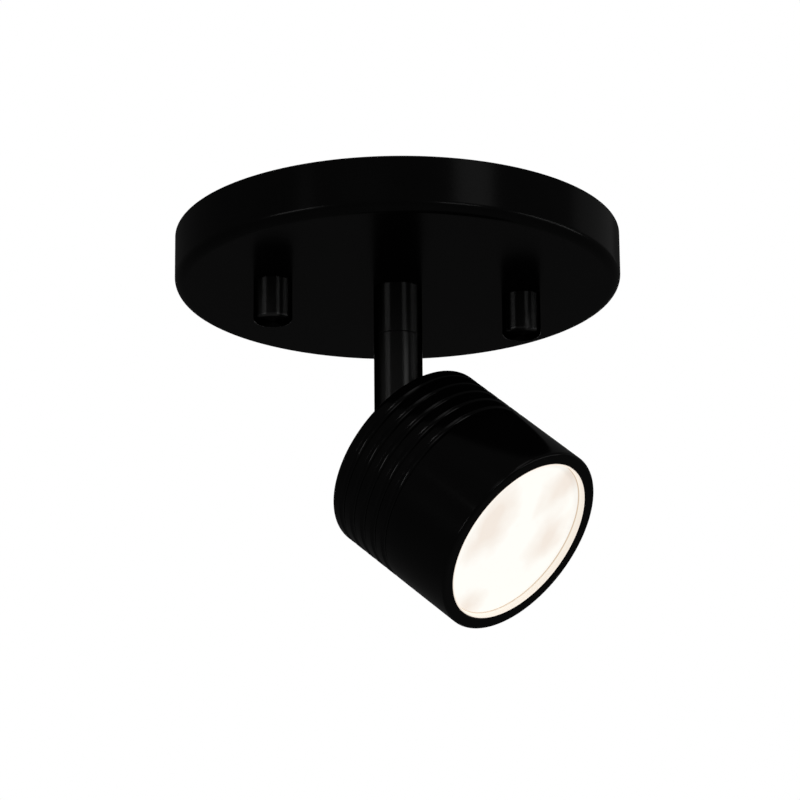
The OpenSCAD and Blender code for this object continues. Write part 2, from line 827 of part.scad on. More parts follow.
module bracket_screws() {
    socket_d = bracket_screw_d / 2;
    color([0.08, 0.08, 0.085])
        headed()
            pair_y(bracket_screw_y)
                translate([0, 0, foot_z])
                    difference() {
                        union() {
                            cylinder(r = bracket_screw_d / 2, h = bracket_screw_l);
                            translate([0, 0, -bracket_head_h])
                                cylinder(r = bracket_head_d / 2, h = bracket_head_h);
                        }
                        translate([0, 0, -bracket_head_h - 1])
                            cylinder(r = socket_d / 2, h = bracket_head_h / 2 + 1, $fn = 6);
                    }
}

// Screw through the ears and the tongue, on which the head tilts.
module tilt_screw() {
    screw_l = 2 * ear_out + tilt_nut_h;
    color([0.08, 0.08, 0.085])
        across()
            translate([0, 0, -ear_out])
                difference() {
                    union() {
                        cylinder(r = tilt_screw_d / 2, h = screw_l);
                        translate([0, 0, -tilt_head_h])
                            cylinder(r = tilt_head_d / 2, h = tilt_head_h);
                    }
                    translate([0, 0, -tilt_head_h - 1])
                        cylinder(r = tilt_socket_d / 2, h = tilt_head_h * 0.6 + 1, $fn = 6);
                }
}

module tilt_washers() {
    color([0.9, 0.9, 0.86])
        across()
            for (side = [-1, 1])
                translate([0, 0, side > 0 ? ear_in - tilt_washer_t : -ear_in])
                    ring(tilt_washer_d / 2, tilt_hole_r, tilt_washer_t);
}

module tilt_nut() {
    color([0.7, 0.7, 0.68])
        across()
            translate([0, 0, ear_out])
                hex_nut(tilt_nut_af, tilt_nut_h, tilt_screw_d / 2 + thread_gap);
}

// Turned aluminium cup with round grooves near its back, which holds the light source and the lens.
module head_housing() {
    color([0.04, 0.04, 0.045])
        headed()
            difference() {
                rotate_extrude()
                    polygon(concat(
                        [[0, back_wall], [0, 0]],
                        arc(head_r - back_edge_r, back_edge_r, back_edge_r, -90, 0),
                        [for (i = [0 : groove_n - 1])
                            each arc(
                                head_r - groove_h + groove_r,
                                groove_first + i * groove_pitch + groove_w / 2,
                                groove_r, 180 + groove_bend, 180 - groove_bend
                            )],
                        arc(head_r - front_edge_r, head_len - front_edge_r, front_edge_r, 0, 90),
                        [[mouth_r, head_len]],
                        [[mouth_r, snap_z + snap_t + seat_gap]],
                        [[mouth_r + snap_h, snap_z + snap_t + seat_gap]],
                        [[mouth_r + snap_h, snap_z - seat_gap]],
                        [[mouth_r, snap_z - seat_gap]],
                        [[mouth_r, ledge_z], [cavity_r, ledge_z], [cavity_r, back_wall]]
                    ));
                translate([0, 0, -1])
                    oblong(foot_reach + free_gap, foot_r + free_gap, pocket_h + 1);
                pair_y(bracket_screw_y)
                    translate([0, 0, pocket_h - 1])
                        cylinder(r = bracket_screw_d / 2 + thread_gap, h = bracket_screw_l - bracket_t + 1 + free_gap);
                translate([0, grommet_y, -1])
                    cylinder(r = grommet_neck_d / 2 + seat_gap, h = back_wall + 2);
                board_screw_places()
                    translate([0, 0, chip_z - board_screw_l - free_gap])
                        cylinder(r = board_screw_d / 2 + thread_gap, h = board_screw_l);
            }
}

module board_screw_places() {
    for (i = [0 : board_screw_n - 1])
        rotate([0, 0, -90 + i * 360 / board_screw_n])
            translate([board_screw_r, 0, 0])
                children();
}

module lead_grommet() {
    color([0.06, 0.06, 0.06])
        headed()
            translate([0, grommet_y, 0])
                difference() {
                    union() {
                        translate([0, 0, -grommet_flange_t])
                            cylinder(r = grommet_flange_d / 2, h = grommet_flange_t);
                        translate([0, 0, -grommet_flange_t / 2])
                            cylinder(r = grommet_neck_d / 2, h = grommet_neck_l + grommet_flange_t / 2);
                    }
                    translate([0, 0, -grommet_flange_t - 1])
                        cylinder(r = grommet_bore_d / 2, h = grommet_neck_l + grommet_flange_t + 2);
                }
}

// Round sheet with a notch for the leads and holes for the board screws.
module board_disc(z, h, screw_gap) {
    headed()
        translate([0, 0, z])
            difference() {
                cylinder(r = board_r, h = h);
                translate([0, grommet_y, -1])
                    cylinder(r = grommet_neck_d / 2, h = h + 2);
                translate([-grommet_neck_d / 2, grommet_y, -1])
                    cube([grommet_neck_d, board_r, h + 2]);
                board_screw_places()
                    translate([0, 0, -1])
                        cylinder(r = board_screw_d / 2 + screw_gap, h = h + 2);
            }
}

module thermal_pad() {
    color([0.6, 0.6, 0.65])
        board_disc(back_wall, pad_t, free_gap);
}

module led_board() {
    color([0.92, 0.92, 0.9])
        board_disc(board_z, board_t, seat_gap);
}

module led_chip() {
    color([0.95, 0.85, 0.4])
        headed()
            translate([0, 0, chip_z])
                union() {
                    translate([-chip_w / 2, -chip_w / 2, 0])
                        cube([chip_w, chip_w, chip_t]);
                    cylinder(r = glow_d / 2, h = chip_t + glow_h);
                }
}

module board_screws() {
    color([0.7, 0.7, 0.68])
        headed()
            board_screw_places() {
                translate([0, 0, chip_z - board_screw_l])
                    cylinder(r = board_screw_d / 2, h = board_screw_l + board_head_h / 2);
                translate([0, 0, chip_z])
                    cylinder(r = board_head_d / 2, h = board_head_h);
            }
}

// White moulded reflector. Its flange rests on the ledge inside the mouth.
module reflector() {
    profile_n = 12;
    color([0.96, 0.96, 0.95])
        headed()
            rotate_extrude()
                polygon(concat(
                    [for (i = [0 : profile_n]) reflector_point(i / profile_n, 0)],
                    [[reflector_mouth_r, gasket_z], [mouth_r - seat_gap, gasket_z], [mouth_r - seat_gap, ledge_z]],
                    [for (i = [profile_n : -1 : 0]) reflector_point(i / profile_n, reflector_wall)]
                ));
}

module lens_gasket() {
    color([0.85, 0.85, 0.85])
        headed()
            translate([0, 0, gasket_z])
                ring(mouth_r - seat_gap, mouth_r - seat_gap - gasket_w, gasket_t);
}

// Frosted dish with an upturned rim. Its snap ribs click into a groove in the mouth.
module lens() {
    rim_h = lens_recess - lens_rim_back;
    color([1, 0.97, 0.9])
        headed()
            translate([0, 0, lens_z])
                union() {
                    cylinder(r = lens_r, h = lens_t);
                    translate([0, 0, lens_t / 2])
                        ring(lens_r, lens_r - lens_rim_t, rim_h + lens_t / 2);
                    intersection() {
                        translate([0, 0, snap_z - lens_z])
                            ring(lens_r + snap_h, lens_r - 1, snap_t);
                        for (i = [0 : snap_n - 1])
                            rotate([0, 0, i * 360 / snap_n])
                                translate([lens_r - 1, -snap_w / 2, 0])
                                    cube([2, snap_w, lens_t]);
                    }
                }
}

canopy();
mounting_strap();
studs();
stud_nuts();
cap_nuts();
ground_screw();
nipple();
toothed_washer();
nipple_nut();
nipple_bushing();
collar();
collar_stop_pin();
driver_pad();
driver_case();
driver_lid();
driver_board();
driver_transformer();
driver_capacitors();
driver_terminals();
stem();
stem_stop_pin();
glide_washer();
spring_washer();
swivel_nut();
tilt_bracket();
bracket_screws();
tilt_screw();
tilt_washers();
tilt_nut();
head_housing();
lead_grommet();
thermal_pad();
led_board();
led_chip();
board_screws();
reflector();
lens_gasket();
lens();
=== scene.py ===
"""A black ceiling spotlight, piece by piece from the ceiling down: canopy, driver, stem, knuckle, head and lens."""
from math import atan2, ceil, cos, degrees, pi, radians, sin, sqrt, tan

import bpy
from mathutils import Euler, Matrix, Vector


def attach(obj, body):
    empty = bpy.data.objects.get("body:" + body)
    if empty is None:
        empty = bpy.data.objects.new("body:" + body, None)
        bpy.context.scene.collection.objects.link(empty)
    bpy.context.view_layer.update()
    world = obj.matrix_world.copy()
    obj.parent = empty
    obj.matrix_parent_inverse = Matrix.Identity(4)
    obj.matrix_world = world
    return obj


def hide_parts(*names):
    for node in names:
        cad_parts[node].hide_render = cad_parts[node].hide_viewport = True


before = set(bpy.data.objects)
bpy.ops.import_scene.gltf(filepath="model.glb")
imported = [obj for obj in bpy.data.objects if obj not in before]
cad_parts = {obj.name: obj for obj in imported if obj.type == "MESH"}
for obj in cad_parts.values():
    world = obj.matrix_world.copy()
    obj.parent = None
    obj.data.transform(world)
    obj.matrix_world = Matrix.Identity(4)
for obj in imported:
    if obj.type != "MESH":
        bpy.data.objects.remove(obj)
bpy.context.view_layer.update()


# ---------------------------------------------------------------- Canopy
# A shallow pan, spun from 1.2 mm steel sheet over a form, its rim curled smooth where it meets the ceiling.
# It is drilled for the nipple and the two studs, and powder coated satin black inside and out.

MM = 0.001
CANOPY_LOW, CANOPY_FLOOR = -15.7, -14.5
STUD_X = 36

# A Mix node's sockets are known by number: what it mixes by, two numbers, two colours, and what comes out.
FACTOR, NUMBER_A, NUMBER_B, COLOUR_A, COLOUR_B = 0, 2, 3, 6, 7
MIXED_NUMBER, MIXED_COLOUR = 0, 2


def linear(code):
    """An sRGB hex colour as the linear colour that a shader takes."""
    channels = [int(code[i:i + 2], 16) / 255 for i in (0, 2, 4)]
    return [c / 12.92 if c <= 0.04045 else ((c + 0.055) / 1.055) ** 2.4 for c in channels] + [1]


def add_node(tree, kind, sockets=None, feeds=None, into=None, **settings):
    """Adds a shader node with its settings, the values of its sockets, what feeds it and what it feeds."""
    added = tree.nodes.new("ShaderNode" + kind)
    for name, value in settings.items():
        setattr(added, name, value)
    for name, value in (sockets or {}).items():
        added.inputs[name].default_value = value
    for name, source in (feeds or {}).items():
        tree.links.new(source, added.inputs[name])
    for name, target in (into or {}).items():
        tree.links.new(added.outputs[name], target)
    return added


def new_finish(name, **sockets):
    """Starts a material: gives it, its node tree, its shader, and the coordinates of the piece itself."""
    material = bpy.data.materials.new(name)
    material.use_nodes = True
    tree = material.node_tree
    shader = tree.nodes["Principled BSDF"]
    for socket, value in sockets.items():
        shader.inputs[socket.replace("_", " ")].default_value = value
    return material, tree, shader, add_node(tree, "TexCoord").outputs["Object"]


def arc(radius, height, curve, start, end, steps):
    """Points of a rounded edge in a profile, about (radius, height), from one angle to another."""
    turns = [radians(start + (end - start) * i / steps) for i in range(steps + 1)]
    return [(radius + curve * cos(t), height + curve * sin(t)) for t in turns]


def turn(name, profile, sides=128, solid=False):
    """Turns a piece: a circle is extruded from point to point of a profile of (radius, height) in mm.
    A solid one is closed by a face at both ends, and otherwise the last ring is welded to the first."""
    bpy.ops.object.select_all(action="DESELECT")
    radius, height = profile[0]
    bpy.ops.mesh.primitive_circle_add(
        vertices=sides, radius=radius * MM, location=(0, 0, height * MM), fill_type="NGON" if solid else "NOTHING")
    bpy.ops.object.transform_apply(location=True, rotation=True, scale=True)
    piece = bpy.context.object
    piece.name = name
    bpy.ops.object.mode_set(mode="EDIT")
    bpy.ops.mesh.select_all(action="SELECT")
    for new_radius, new_height in profile[1:] + ([] if solid else profile[:1]):
        bpy.ops.mesh.extrude_region_move(TRANSFORM_OT_translate={"value": (0, 0, (new_height - height) * MM)})
        scale = new_radius / radius
        bpy.ops.transform.resize(value=(scale, scale, 1), center_override=(0, 0, new_height * MM))
        radius, height = new_radius, new_height
    bpy.ops.mesh.select_all(action="SELECT")
    bpy.ops.mesh.remove_doubles(threshold=0.0000015)
    bpy.ops.mesh.normals_make_consistent(inside=False)
    bpy.ops.object.mode_set(mode="OBJECT")
    return piece


def apply(piece, kind, **settings):
    """Adds a modifier to a piece and applies it."""
    modifier = piece.modifiers.new(kind.title(), kind)
    for name, value in settings.items():
        setattr(modifier, name, value)
    bpy.ops.object.select_all(action="DESELECT")
    piece.select_set(True)
    bpy.context.view_layer.objects.active = piece
    bpy.ops.object.modifier_apply(modifier=modifier.name)


def ease(piece, width, segments=3):
    """Takes the sharpness off a piece's edges, by so many mm."""
    apply(piece, "BEVEL", width=width * MM, segments=segments, limit_method="ANGLE", angle_limit=radians(35))


def cut(piece, cutter, operation="DIFFERENCE"):
    """Cuts a piece with another, or joins them, and the other is used up."""
    apply(piece, "BOOLEAN", object=cutter, operation=operation, solver="EXACT")
    bpy.data.objects.remove(cutter)


def drill(piece, radius, low, high, at=Matrix(), chamfer=0.15, blind=False, sides=48):
    """Drills a hole along the Z of a place, from one height to another in mm, countersunk where it comes out."""
    over = 1
    profile = [(radius + chamfer + over, low - over), (radius, low + chamfer)]
    profile += [(radius, high)] if blind else [(radius, high - chamfer), (radius + chamfer + over, high + over)]
    cutter = turn("drill", profile, sides=sides, solid=True)
    cutter.data.transform(at)
    cut(piece, cutter)


def fit(piece, body, nodes, finish, place=Matrix(), flat_up_to=30):
    """Seats a piece in its place, shades it, gives it its body and its finish, and hides the nodes it stands for."""
    piece.data.transform(place)
    bpy.ops.object.select_all(action="DESELECT")
    piece.select_set(True)
    bpy.context.view_layer.objects.active = piece
    bpy.ops.object.shade_smooth_by_angle(angle=radians(flat_up_to))
    apply(piece, "WEIGHTED_NORMAL", keep_sharp=True)
    piece.data.materials.clear()
    piece.data.materials.append(finish)
    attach(piece, body)
    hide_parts(*nodes)


def shift(x, y, z=0):
    """A place moved by so many mm."""
    return Matrix.Translation((x * MM, y * MM, z * MM))


canopy = turn("canopy_pan", [
    (5.25, CANOPY_FLOOR), (5.25, -15.55), (5.4, CANOPY_LOW), (28, CANOPY_LOW), (44, CANOPY_LOW), (60, CANOPY_LOW),
    *arc(60.5, -12.7, 3, -90, 0, 14), *arc(63, -0.5, 0.5, 0, 90, 5), *arc(62.8, -0.5, 0.5, 90, 180, 5),
    *arc(60.5, -12.7, 1.8, 0, -90, 10), (44, CANOPY_FLOOR), (28, CANOPY_FLOOR)], sides=256)
for side in (-1, 1):
    drill(canopy, 2.4, CANOPY_LOW, CANOPY_FLOOR, at=shift(STUD_X * side, 0))

# Polyester powder coat: the powder melts into a skin with a fine orange peel about a millimetre across.
# The black is deep, with only a thin satin film of shine over it, so that even a white room barely shows in it.
powder_black, tree, shader, where = new_finish(
    "satin_black_powder_coat", Base_Color=linear("020202"), Roughness=0.5, Specular_IOR_Level=0.0,
    Coat_Weight=0.02, Coat_Roughness=0.2)
peel = add_node(tree, "TexNoise", {"Scale": 900, "Detail": 2}, {"Vector": where})
cloud = add_node(tree, "TexNoise", {"Scale": 45, "Detail": 4}, {"Vector": where})
add_node(tree, "Mix", {COLOUR_A: linear("010101"), COLOUR_B: linear("030303")},
         {FACTOR: cloud.outputs["Fac"]}, data_type="RGBA", into={MIXED_COLOUR: shader.inputs["Base Color"]})
bump = add_node(tree, "Bump", {"Strength": 0.15, "Distance": 0.00004}, {"Height": peel.outputs["Fac"]})
tree.links.new(bump.outputs["Normal"], shader.inputs["Normal"])
tree.links.new(bump.outputs["Normal"], shader.inputs["Coat Normal"])
fit(canopy, "canopy_assembly", ["canopy"], powder_black)


# ---------------------------------------------------------------- Mounting strap
# A bar of 1.6 mm steel strip, cropped and punched, with a slot at each end for the screws of the outlet box.
# It is held up flat against the box, its middle hole round the leads.

STRAP_T = 1.6
GROUND_X = -18
SLOT_X = 44.45


def pick(piece, kind, wanted):
    """Goes into edit mode on a piece with those of its points, edges or faces selected that are wanted."""
    bpy.ops.object.select_all(action="DESELECT")
    piece.select_set(True)
    bpy.context.view_layer.objects.active = piece
    bpy.ops.object.mode_set(mode="EDIT")
    bpy.ops.mesh.select_mode(type=kind)
    bpy.ops.mesh.select_all(action="DESELECT")
    bpy.ops.object.mode_set(mode="OBJECT")
    for one in {"VERT": piece.data.vertices, "EDGE": piece.data.edges, "FACE": piece.data.polygons}[kind]:
        one.select = wanted(one)
    bpy.ops.object.mode_set(mode="EDIT")


def bar(name, length, width, thickness, middle, corner=0, corner_steps=6):
    """Cuts a flat bar with upright corners rounded, its middle at a point in mm."""
    bpy.ops.object.select_all(action="DESELECT")
    bpy.ops.mesh.primitive_cube_add(size=MM, location=[c * MM for c in middle])
    piece = bpy.context.object
    piece.name = name
    piece.scale = (length, width, thickness)
    bpy.ops.object.transform_apply(location=True, rotation=True, scale=True)
    if corner:
        points = [vertex.co.copy() for vertex in piece.data.vertices]
        pick(piece, "EDGE", lambda edge: points[edge.vertices[0]].xy == points[edge.vertices[1]].xy)
        bpy.ops.mesh.bevel(offset=corner * MM, segments=corner_steps, affect="EDGES")
        bpy.ops.object.mode_set(mode="OBJECT")
    return piece


def round_bar(name, radius, reach, low, high):
    """Cuts a flat piece with round ends, its length along Y, from one height to another in mm."""
    bpy.ops.object.select_all(action="DESELECT")
    bpy.ops.mesh.primitive_cylinder_add(
        vertices=64, radius=radius * MM, depth=(high - low) * MM, location=(0, 0, (low + high) / 2 * MM))
    bpy.ops.object.transform_apply(location=True, rotation=True, scale=True)
    piece = bpy.context.object
    piece.name = name
    for side in (-1, 1):
        pick(piece, "VERT", lambda vertex: vertex.co.y * side > 0.01 * MM)
        bpy.ops.transform.translate(value=(0, side * (reach - radius) * MM, 0))
        bpy.ops.object.mode_set(mode="OBJECT")
    return piece


strap = bar("mounting_strap_bar", 105.9, 18, STRAP_T, (0, 0, -STRAP_T / 2), corner=2.5)
ease(strap, 0.15)
drill(strap, 5.25, -STRAP_T, 0, sides=64)
drill(strap, 2.05, -STRAP_T, 0, at=shift(GROUND_X, 0))
for side in (-1, 1):
    drill(strap, 2.15, -STRAP_T, 0, at=shift(STUD_X * side, 0))
    slot = round_bar("slot", 2.5, 4, -3, 2)
    slot.data.transform(shift(SLOT_X * side, 0) @ Matrix.Rotation(pi / 2, 4, "Z"))
    cut(strap, slot)

# Zinc plate, clear passivated: a grey shine that is duller in 0.4 mm wide rolling lines along the bar, with a
# faint mottle a few millimetres across.
zinc, tree, shader, where = new_finish(
    "zinc_plated_steel", Base_Color=linear("acadab"), Metallic=1.0, Roughness=0.44)
along = add_node(tree, "Mapping", {"Scale": (60, 2500, 2500)}, {"Vector": where})
lines = add_node(tree, "TexNoise", {"Scale": 1, "Detail": 3}, {"Vector": along.outputs["Vector"]})
spangle = add_node(tree, "TexVoronoi", {"Scale": 420}, {"Vector": where})
add_node(tree, "Mix", {COLOUR_A: linear("a0a19f"), COLOUR_B: linear("b8b9b7")},
         {FACTOR: spangle.outputs["Distance"]}, data_type="RGBA", into={MIXED_COLOUR: shader.inputs["Base Color"]})
add_node(tree, "MapRange", {"To Min": 0.38, "To Max": 0.52}, {"Value": lines.outputs["Fac"]},
         into={"Result": shader.inputs["Roughness"]})
add_node(tree, "Bump", {"Strength": 0.2, "Distance": 0.00002}, {"Height": lines.outputs["Fac"]},
         into={"Normal": shader.inputs["Normal"]})
fit(strap, "canopy_assembly", ["mounting_strap"], zinc)


# ---------------------------------------------------------------- Studs, their nuts and the cap nuts
# Two 8-32 studs of zinc plated steel hang from the strap, each locked by a hexagon nut under it.
# The canopy is held up by a blind barrel nut on each, turned from bar with a soft lower edge and painted black.

FINE_PITCH = 0.794


def thread(name, crest, root, pitch, low, high, steps=32):
    """Rolls a screw thread: the flank of one turn is swept up the Z axis, and both ends are cut and chamfered."""
    narrow_crest, chamfer = 0.22, (crest - root) * 0.8
    bpy.ops.object.select_all(action="DESELECT")
    bpy.ops.mesh.primitive_plane_add(size=MM, rotation=(pi / 2, 0, 0))
    piece = bpy.context.object
    piece.name = name
    turns = ceil((high - low) / pitch) + 3
    piece.scale = (crest - root, pitch, 1)
    piece.location = ((crest + root) / 2 * MM, 0, (low - pitch) * MM)
    bpy.ops.object.transform_apply(location=True, rotation=True, scale=True)
    middle = (crest + root) / 2 * MM
    pick(piece, "VERT", lambda vertex: vertex.co.x > middle)
    bpy.ops.transform.resize(value=(1, 1, narrow_crest), center_override=(0, 0, (low - pitch) * MM))
    bpy.ops.object.mode_set(mode="OBJECT")
    depths = [vertex.co.x for vertex in piece.data.vertices]
    pick(piece, "EDGE", lambda edge: all(depths[index] < middle for index in edge.vertices))
    bpy.ops.mesh.delete(type="EDGE")
    bpy.ops.object.mode_set(mode="OBJECT")
    apply(piece, "SCREW", axis="Z", angle=2 * pi, screw_offset=pitch * MM, iterations=turns,
          steps=steps, render_steps=steps, use_merge_vertices=False)
    bpy.ops.object.mode_set(mode="EDIT")
    bpy.ops.mesh.select_mode(type="VERT")
    bpy.ops.mesh.select_all(action="SELECT")
    bpy.ops.mesh.remove_doubles(threshold=0.000002)
    for height, up in ((low + chamfer, -1), (high - chamfer, 1)):
        bpy.ops.mesh.select_all(action="SELECT")
        bpy.ops.mesh.bisect(plane_co=(0, 0, height * MM), plane_no=(0, 0, up), use_fill=True, clear_outer=True,
                            threshold=0.0000001)
        bpy.ops.mesh.inset(thickness=chamfer * MM, depth=0)
        bpy.ops.transform.translate(value=(0, 0, up * chamfer * MM))
    bpy.ops.mesh.select_all(action="SELECT")
    bpy.ops.mesh.normals_make_consistent(inside=False)
    bpy.ops.object.mode_set(mode="OBJECT")
    return piece


def hex_nut(name, flats, low, high, bore, turned=0):
    """Makes a hexagon nut: a six-sided bar, its corners chamfered by a cone at both ends, and drilled."""
    bpy.ops.object.select_all(action="DESELECT")
    bpy.ops.mesh.primitive_cylinder_add(
        vertices=6, radius=flats / sqrt(3) * MM, depth=(high - low) * MM, location=(0, 0, (low + high) / 2 * MM),
        rotation=(0, 0, radians(turned)))
    bpy.ops.object.transform_apply(location=True, rotation=True, scale=True)
    piece = bpy.context.object
    piece.name = name
    face, beyond = flats * 0.48, flats / sqrt(3) + 0.3
    drop = (beyond - face) * tan(radians(30))
    cone = turn("cone", [(face, low), (beyond, low + drop), (beyond, high - drop), (face, high)],
                sides=96, solid=True)
    cut(piece, cone, "INTERSECT")
    drill(piece, bore, low, high, chamfer=0.25)
    return piece


def copies(piece, *names):
    """Copies a piece, each copy with a mesh of its own, until there is one for each name."""
    made = [piece]
    for name in names[1:]:
        bpy.ops.object.select_all(action="DESELECT")
        piece.select_set(True)
        bpy.context.view_layer.objects.active = piece
        bpy.ops.object.duplicate()
        made.append(bpy.context.object)
    for one, name in zip(made, names):
        one.name = name
    return made


studs = copies(thread("stud", 2.1, 1.72, FINE_PITCH, -24.7, 0), "stud_left", "stud_right")
stud_nuts = copies(hex_nut("stud_nut", 7.9, -4.8, -STRAP_T, 2.15), "stud_nut_left", "stud_nut_right")
cap_nuts = copies(turn("cap_nut", [
    (2.15, -25), (2.15, -16), (2.45, CANOPY_LOW), (5.3, CANOPY_LOW), (5.5, -15.9),
    *arc(4.5, -26.6, 1, 0, -90, 8)], sides=96, solid=True), "cap_nut_left", "cap_nut_right")

# Wet sprayed satin paint on turned steel: the rings that the lathe left draw each reflection out along the piece,
# so that a lamp shows as an upright stripe with clean sides.
paint_black, tree, shader, where = new_finish(
    "satin_black_paint_on_turned_steel", Base_Color=linear("111111"), Metallic=1.0, Roughness=0.26,
    Specular_Tint=linear("404040"), Anisotropic=0.95, Anisotropic_Rotation=0.25)
add_node(tree, "Tangent", direction_type="RADIAL", axis="Z", into={"Tangent": shader.inputs["Tangent"]})
mist = add_node(tree, "TexNoise", {"Scale": 1600, "Detail": 2}, {"Vector": where})
rings = add_node(tree, "Mapping", {"Scale": (20, 20, 2200)}, {"Vector": where})
tool_marks = add_node(tree, "TexNoise", {"Scale": 1, "Detail": 1}, {"Vector": rings.outputs["Vector"]})
both = add_node(tree, "Mix", {FACTOR: 0.5}, {NUMBER_A: mist.outputs["Fac"], NUMBER_B: tool_marks.outputs["Fac"]})
add_node(tree, "Bump", {"Strength": 0.1, "Distance": 0.00002}, {"Height": both.outputs[MIXED_NUMBER]},
         into={"Normal": shader.inputs["Normal"]})

for index, side in enumerate((-1, 1)):
    place = shift(STUD_X * side, 0)
    fit(studs[index], "canopy_assembly", ["studs"], zinc, place=place)
    fit(stud_nuts[index], "canopy_assembly", ["stud_nuts"], zinc, place=place)
    fit(cap_nuts[index], "canopy_assembly", ["cap_nuts"], paint_black, place=place)


# ---------------------------------------------------------------- Ground screw
# A slotted washer-head machine screw in the strap, for the bare ground wire.
# It is steel with a green chromate, which is how electricians know it.

ground = turn("ground_screw_slotted", [
    (4, -STRAP_T), (4, -2.3), (3.9, -2.45), (3.2, -2.6), *arc(2.4, -3.2, 0.8, 0, -90, 6)], sides=64, solid=True)
slot = bar("slot", 10, 1.2, 2, (0, 0, -3.8))
cut(ground, slot)
cut(ground, thread("shank", 2, 1.65, FINE_PITCH, -1.9, 0, steps=24), "UNION")


def grained(name, scale, detail, dark, light, rough, deep, **sockets):
    """A material of one grain, which tints it between two colours and roughens its skin."""
    material, tree, shader, where = new_finish(name, **sockets)
    grain = add_node(tree, "TexNoise", {"Scale": scale, "Detail": detail}, {"Vector": where}).outputs["Fac"]
    add_node(tree, "Mix", {COLOUR_A: linear(dark), COLOUR_B: linear(light)}, {FACTOR: grain},
             into={MIXED_COLOUR: shader.inputs["Base Color"]}, data_type="RGBA")
    add_node(tree, "Bump", {"Strength": rough, "Distance": deep}, {"Height": grain},
             into={"Normal": shader.inputs["Normal"]})
    return material


# Chromate over zinc: a green metal shine with a soft bloom a millimetre or two across.
green = grained("green_chromate_on_steel", scale=700, detail=3, dark="176338", light="2f8f55",
                rough=0.15, deep=0.00003, Base_Color=linear("1f7a45"), Metallic=0.8, Roughness=0.32)
fit(ground, "canopy_assembly", ["ground_screw"], green, place=shift(GROUND_X, 0))


# ---------------------------------------------------------------- Nipple, its nut, toothed washer and bushing
# A hollow brass tube, threaded all along, screws into the collar and comes up through the canopy's middle.
# A brass nut over a toothed steel washer pinches the canopy, and a white nylon bushing covers the sharp end.

NIPPLE_LOW, NIPPLE_TOP, PIPE_PITCH = -20.1, -8.5, 0.94

nipple = thread("nipple_tube", 4.9, 4.45, PIPE_PITCH, NIPPLE_LOW, NIPPLE_TOP, steps=64)
drill(nipple, 3.5, NIPPLE_LOW, NIPPLE_TOP, chamfer=0.3)

# Turned brass: a yellow metal that tarnish has browned and dulled in patches of about 4 mm.
brass, tree, shader, where = new_finish("turned_brass", Base_Color=linear("c9a35a"), Metallic=1.0, Roughness=0.3)
tarnish = add_node(tree, "TexNoise", {"Scale": 260, "Detail": 4}, {"Vector": where})
add_node(tree, "Mix", {COLOUR_A: linear("b58b42"), COLOUR_B: linear("d8b76e")},
         {FACTOR: tarnish.outputs["Fac"]}, data_type="RGBA", into={MIXED_COLOUR: shader.inputs["Base Color"]})
add_node(tree, "MapRange", {"To Min": 0.22, "To Max": 0.42}, {"Value": tarnish.outputs["Fac"]},
         into={"Result": shader.inputs["Roughness"]})
facing = add_node(tree, "TexNoise", {"Scale": 2400, "Detail": 1}, {"Vector": where})
add_node(tree, "Bump", {"Strength": 0.1, "Distance": 0.00002}, {"Height": facing.outputs["Fac"]},
         into={"Normal": shader.inputs["Normal"]})
fit(nipple, "canopy_assembly", ["nipple"], brass)

nipple_nut = hex_nut("nipple_nut_hex", 14, -13.7, -10.7, 4.95, turned=30)
fit(nipple_nut, "canopy_assembly", ["nipple_nut"], brass)

# Of the 8 points along each tooth, three are drawn in for a notch, and those on its two sides bend up and down.
TEETH, PER_TOOTH = 12, 8
WASHER_LOW, WASHER_TOP = -14.35, -13.85
washer = turn("toothed_washer_ring", [
    (5.05, WASHER_LOW), (5.05, WASHER_TOP), (6.4, WASHER_TOP), (7.65, WASHER_TOP), (7.65, WASHER_LOW),
    (6.4, WASHER_LOW)], sides=TEETH * PER_TOOTH)
for steps, lift, scale in (((3, 4, 5), 0, 0.855), ((1, 2), 0.14, 1), ((6, 7), -0.14, 1)):
    pick(washer, "VERT", lambda vertex: vertex.co.xy.length > 7 * MM and round(
        degrees(atan2(vertex.co.y, vertex.co.x)) / 360 * TEETH * PER_TOOTH) % PER_TOOTH in steps)
    bpy.ops.transform.resize(value=(scale, scale, 1), center_override=(0, 0, (WASHER_LOW + WASHER_TOP) / 2 * MM))
    bpy.ops.transform.translate(value=(0, 0, lift * MM))
    bpy.ops.object.mode_set(mode="OBJECT")
ease(washer, 0.06, 2)
fit(washer, "canopy_assembly", ["toothed_washer"], zinc)

bushing = turn("nipple_bushing_nylon", [
    (2.6, -12.4), (2.7, -12.5), (3.3, -12.5), (3.4, -12.4), (3.4, -8.5), (4.4, -8.5), *arc(4.4, -8.1, 0.3, -90, 0, 4),
    *arc(4.3, -8.1, 0.4, 0, 90, 4), *arc(3.1, -8.2, 0.5, 90, 180, 5)], sides=96)

# Nylon, moulded in a spark-eroded tool: a warm white with a fine even grain, drawn 0.4 mm coarse to show.
nylon, tree, shader, where = new_finish(
    "moulded_white_nylon", Base_Color=linear("e4e3dc"), Roughness=0.5, Subsurface_Weight=0.1)
grain = add_node(tree, "TexNoise", {"Scale": 2600, "Detail": 2}, {"Vector": where})
flow = add_node(tree, "TexNoise", {"Scale": 60, "Detail": 2}, {"Vector": where})
add_node(tree, "Mix", {COLOUR_A: linear("dddcd3"), COLOUR_B: linear("e9e8e2")},
         {FACTOR: flow.outputs["Fac"]}, data_type="RGBA", into={MIXED_COLOUR: shader.inputs["Base Color"]})
add_node(tree, "Bump", {"Strength": 0.3, "Distance": 0.00003}, {"Height": grain.outputs["Fac"]},
         into={"Normal": shader.inputs["Normal"]})
fit(bushing, "canopy_assembly", ["nipple_bushing"], nylon)


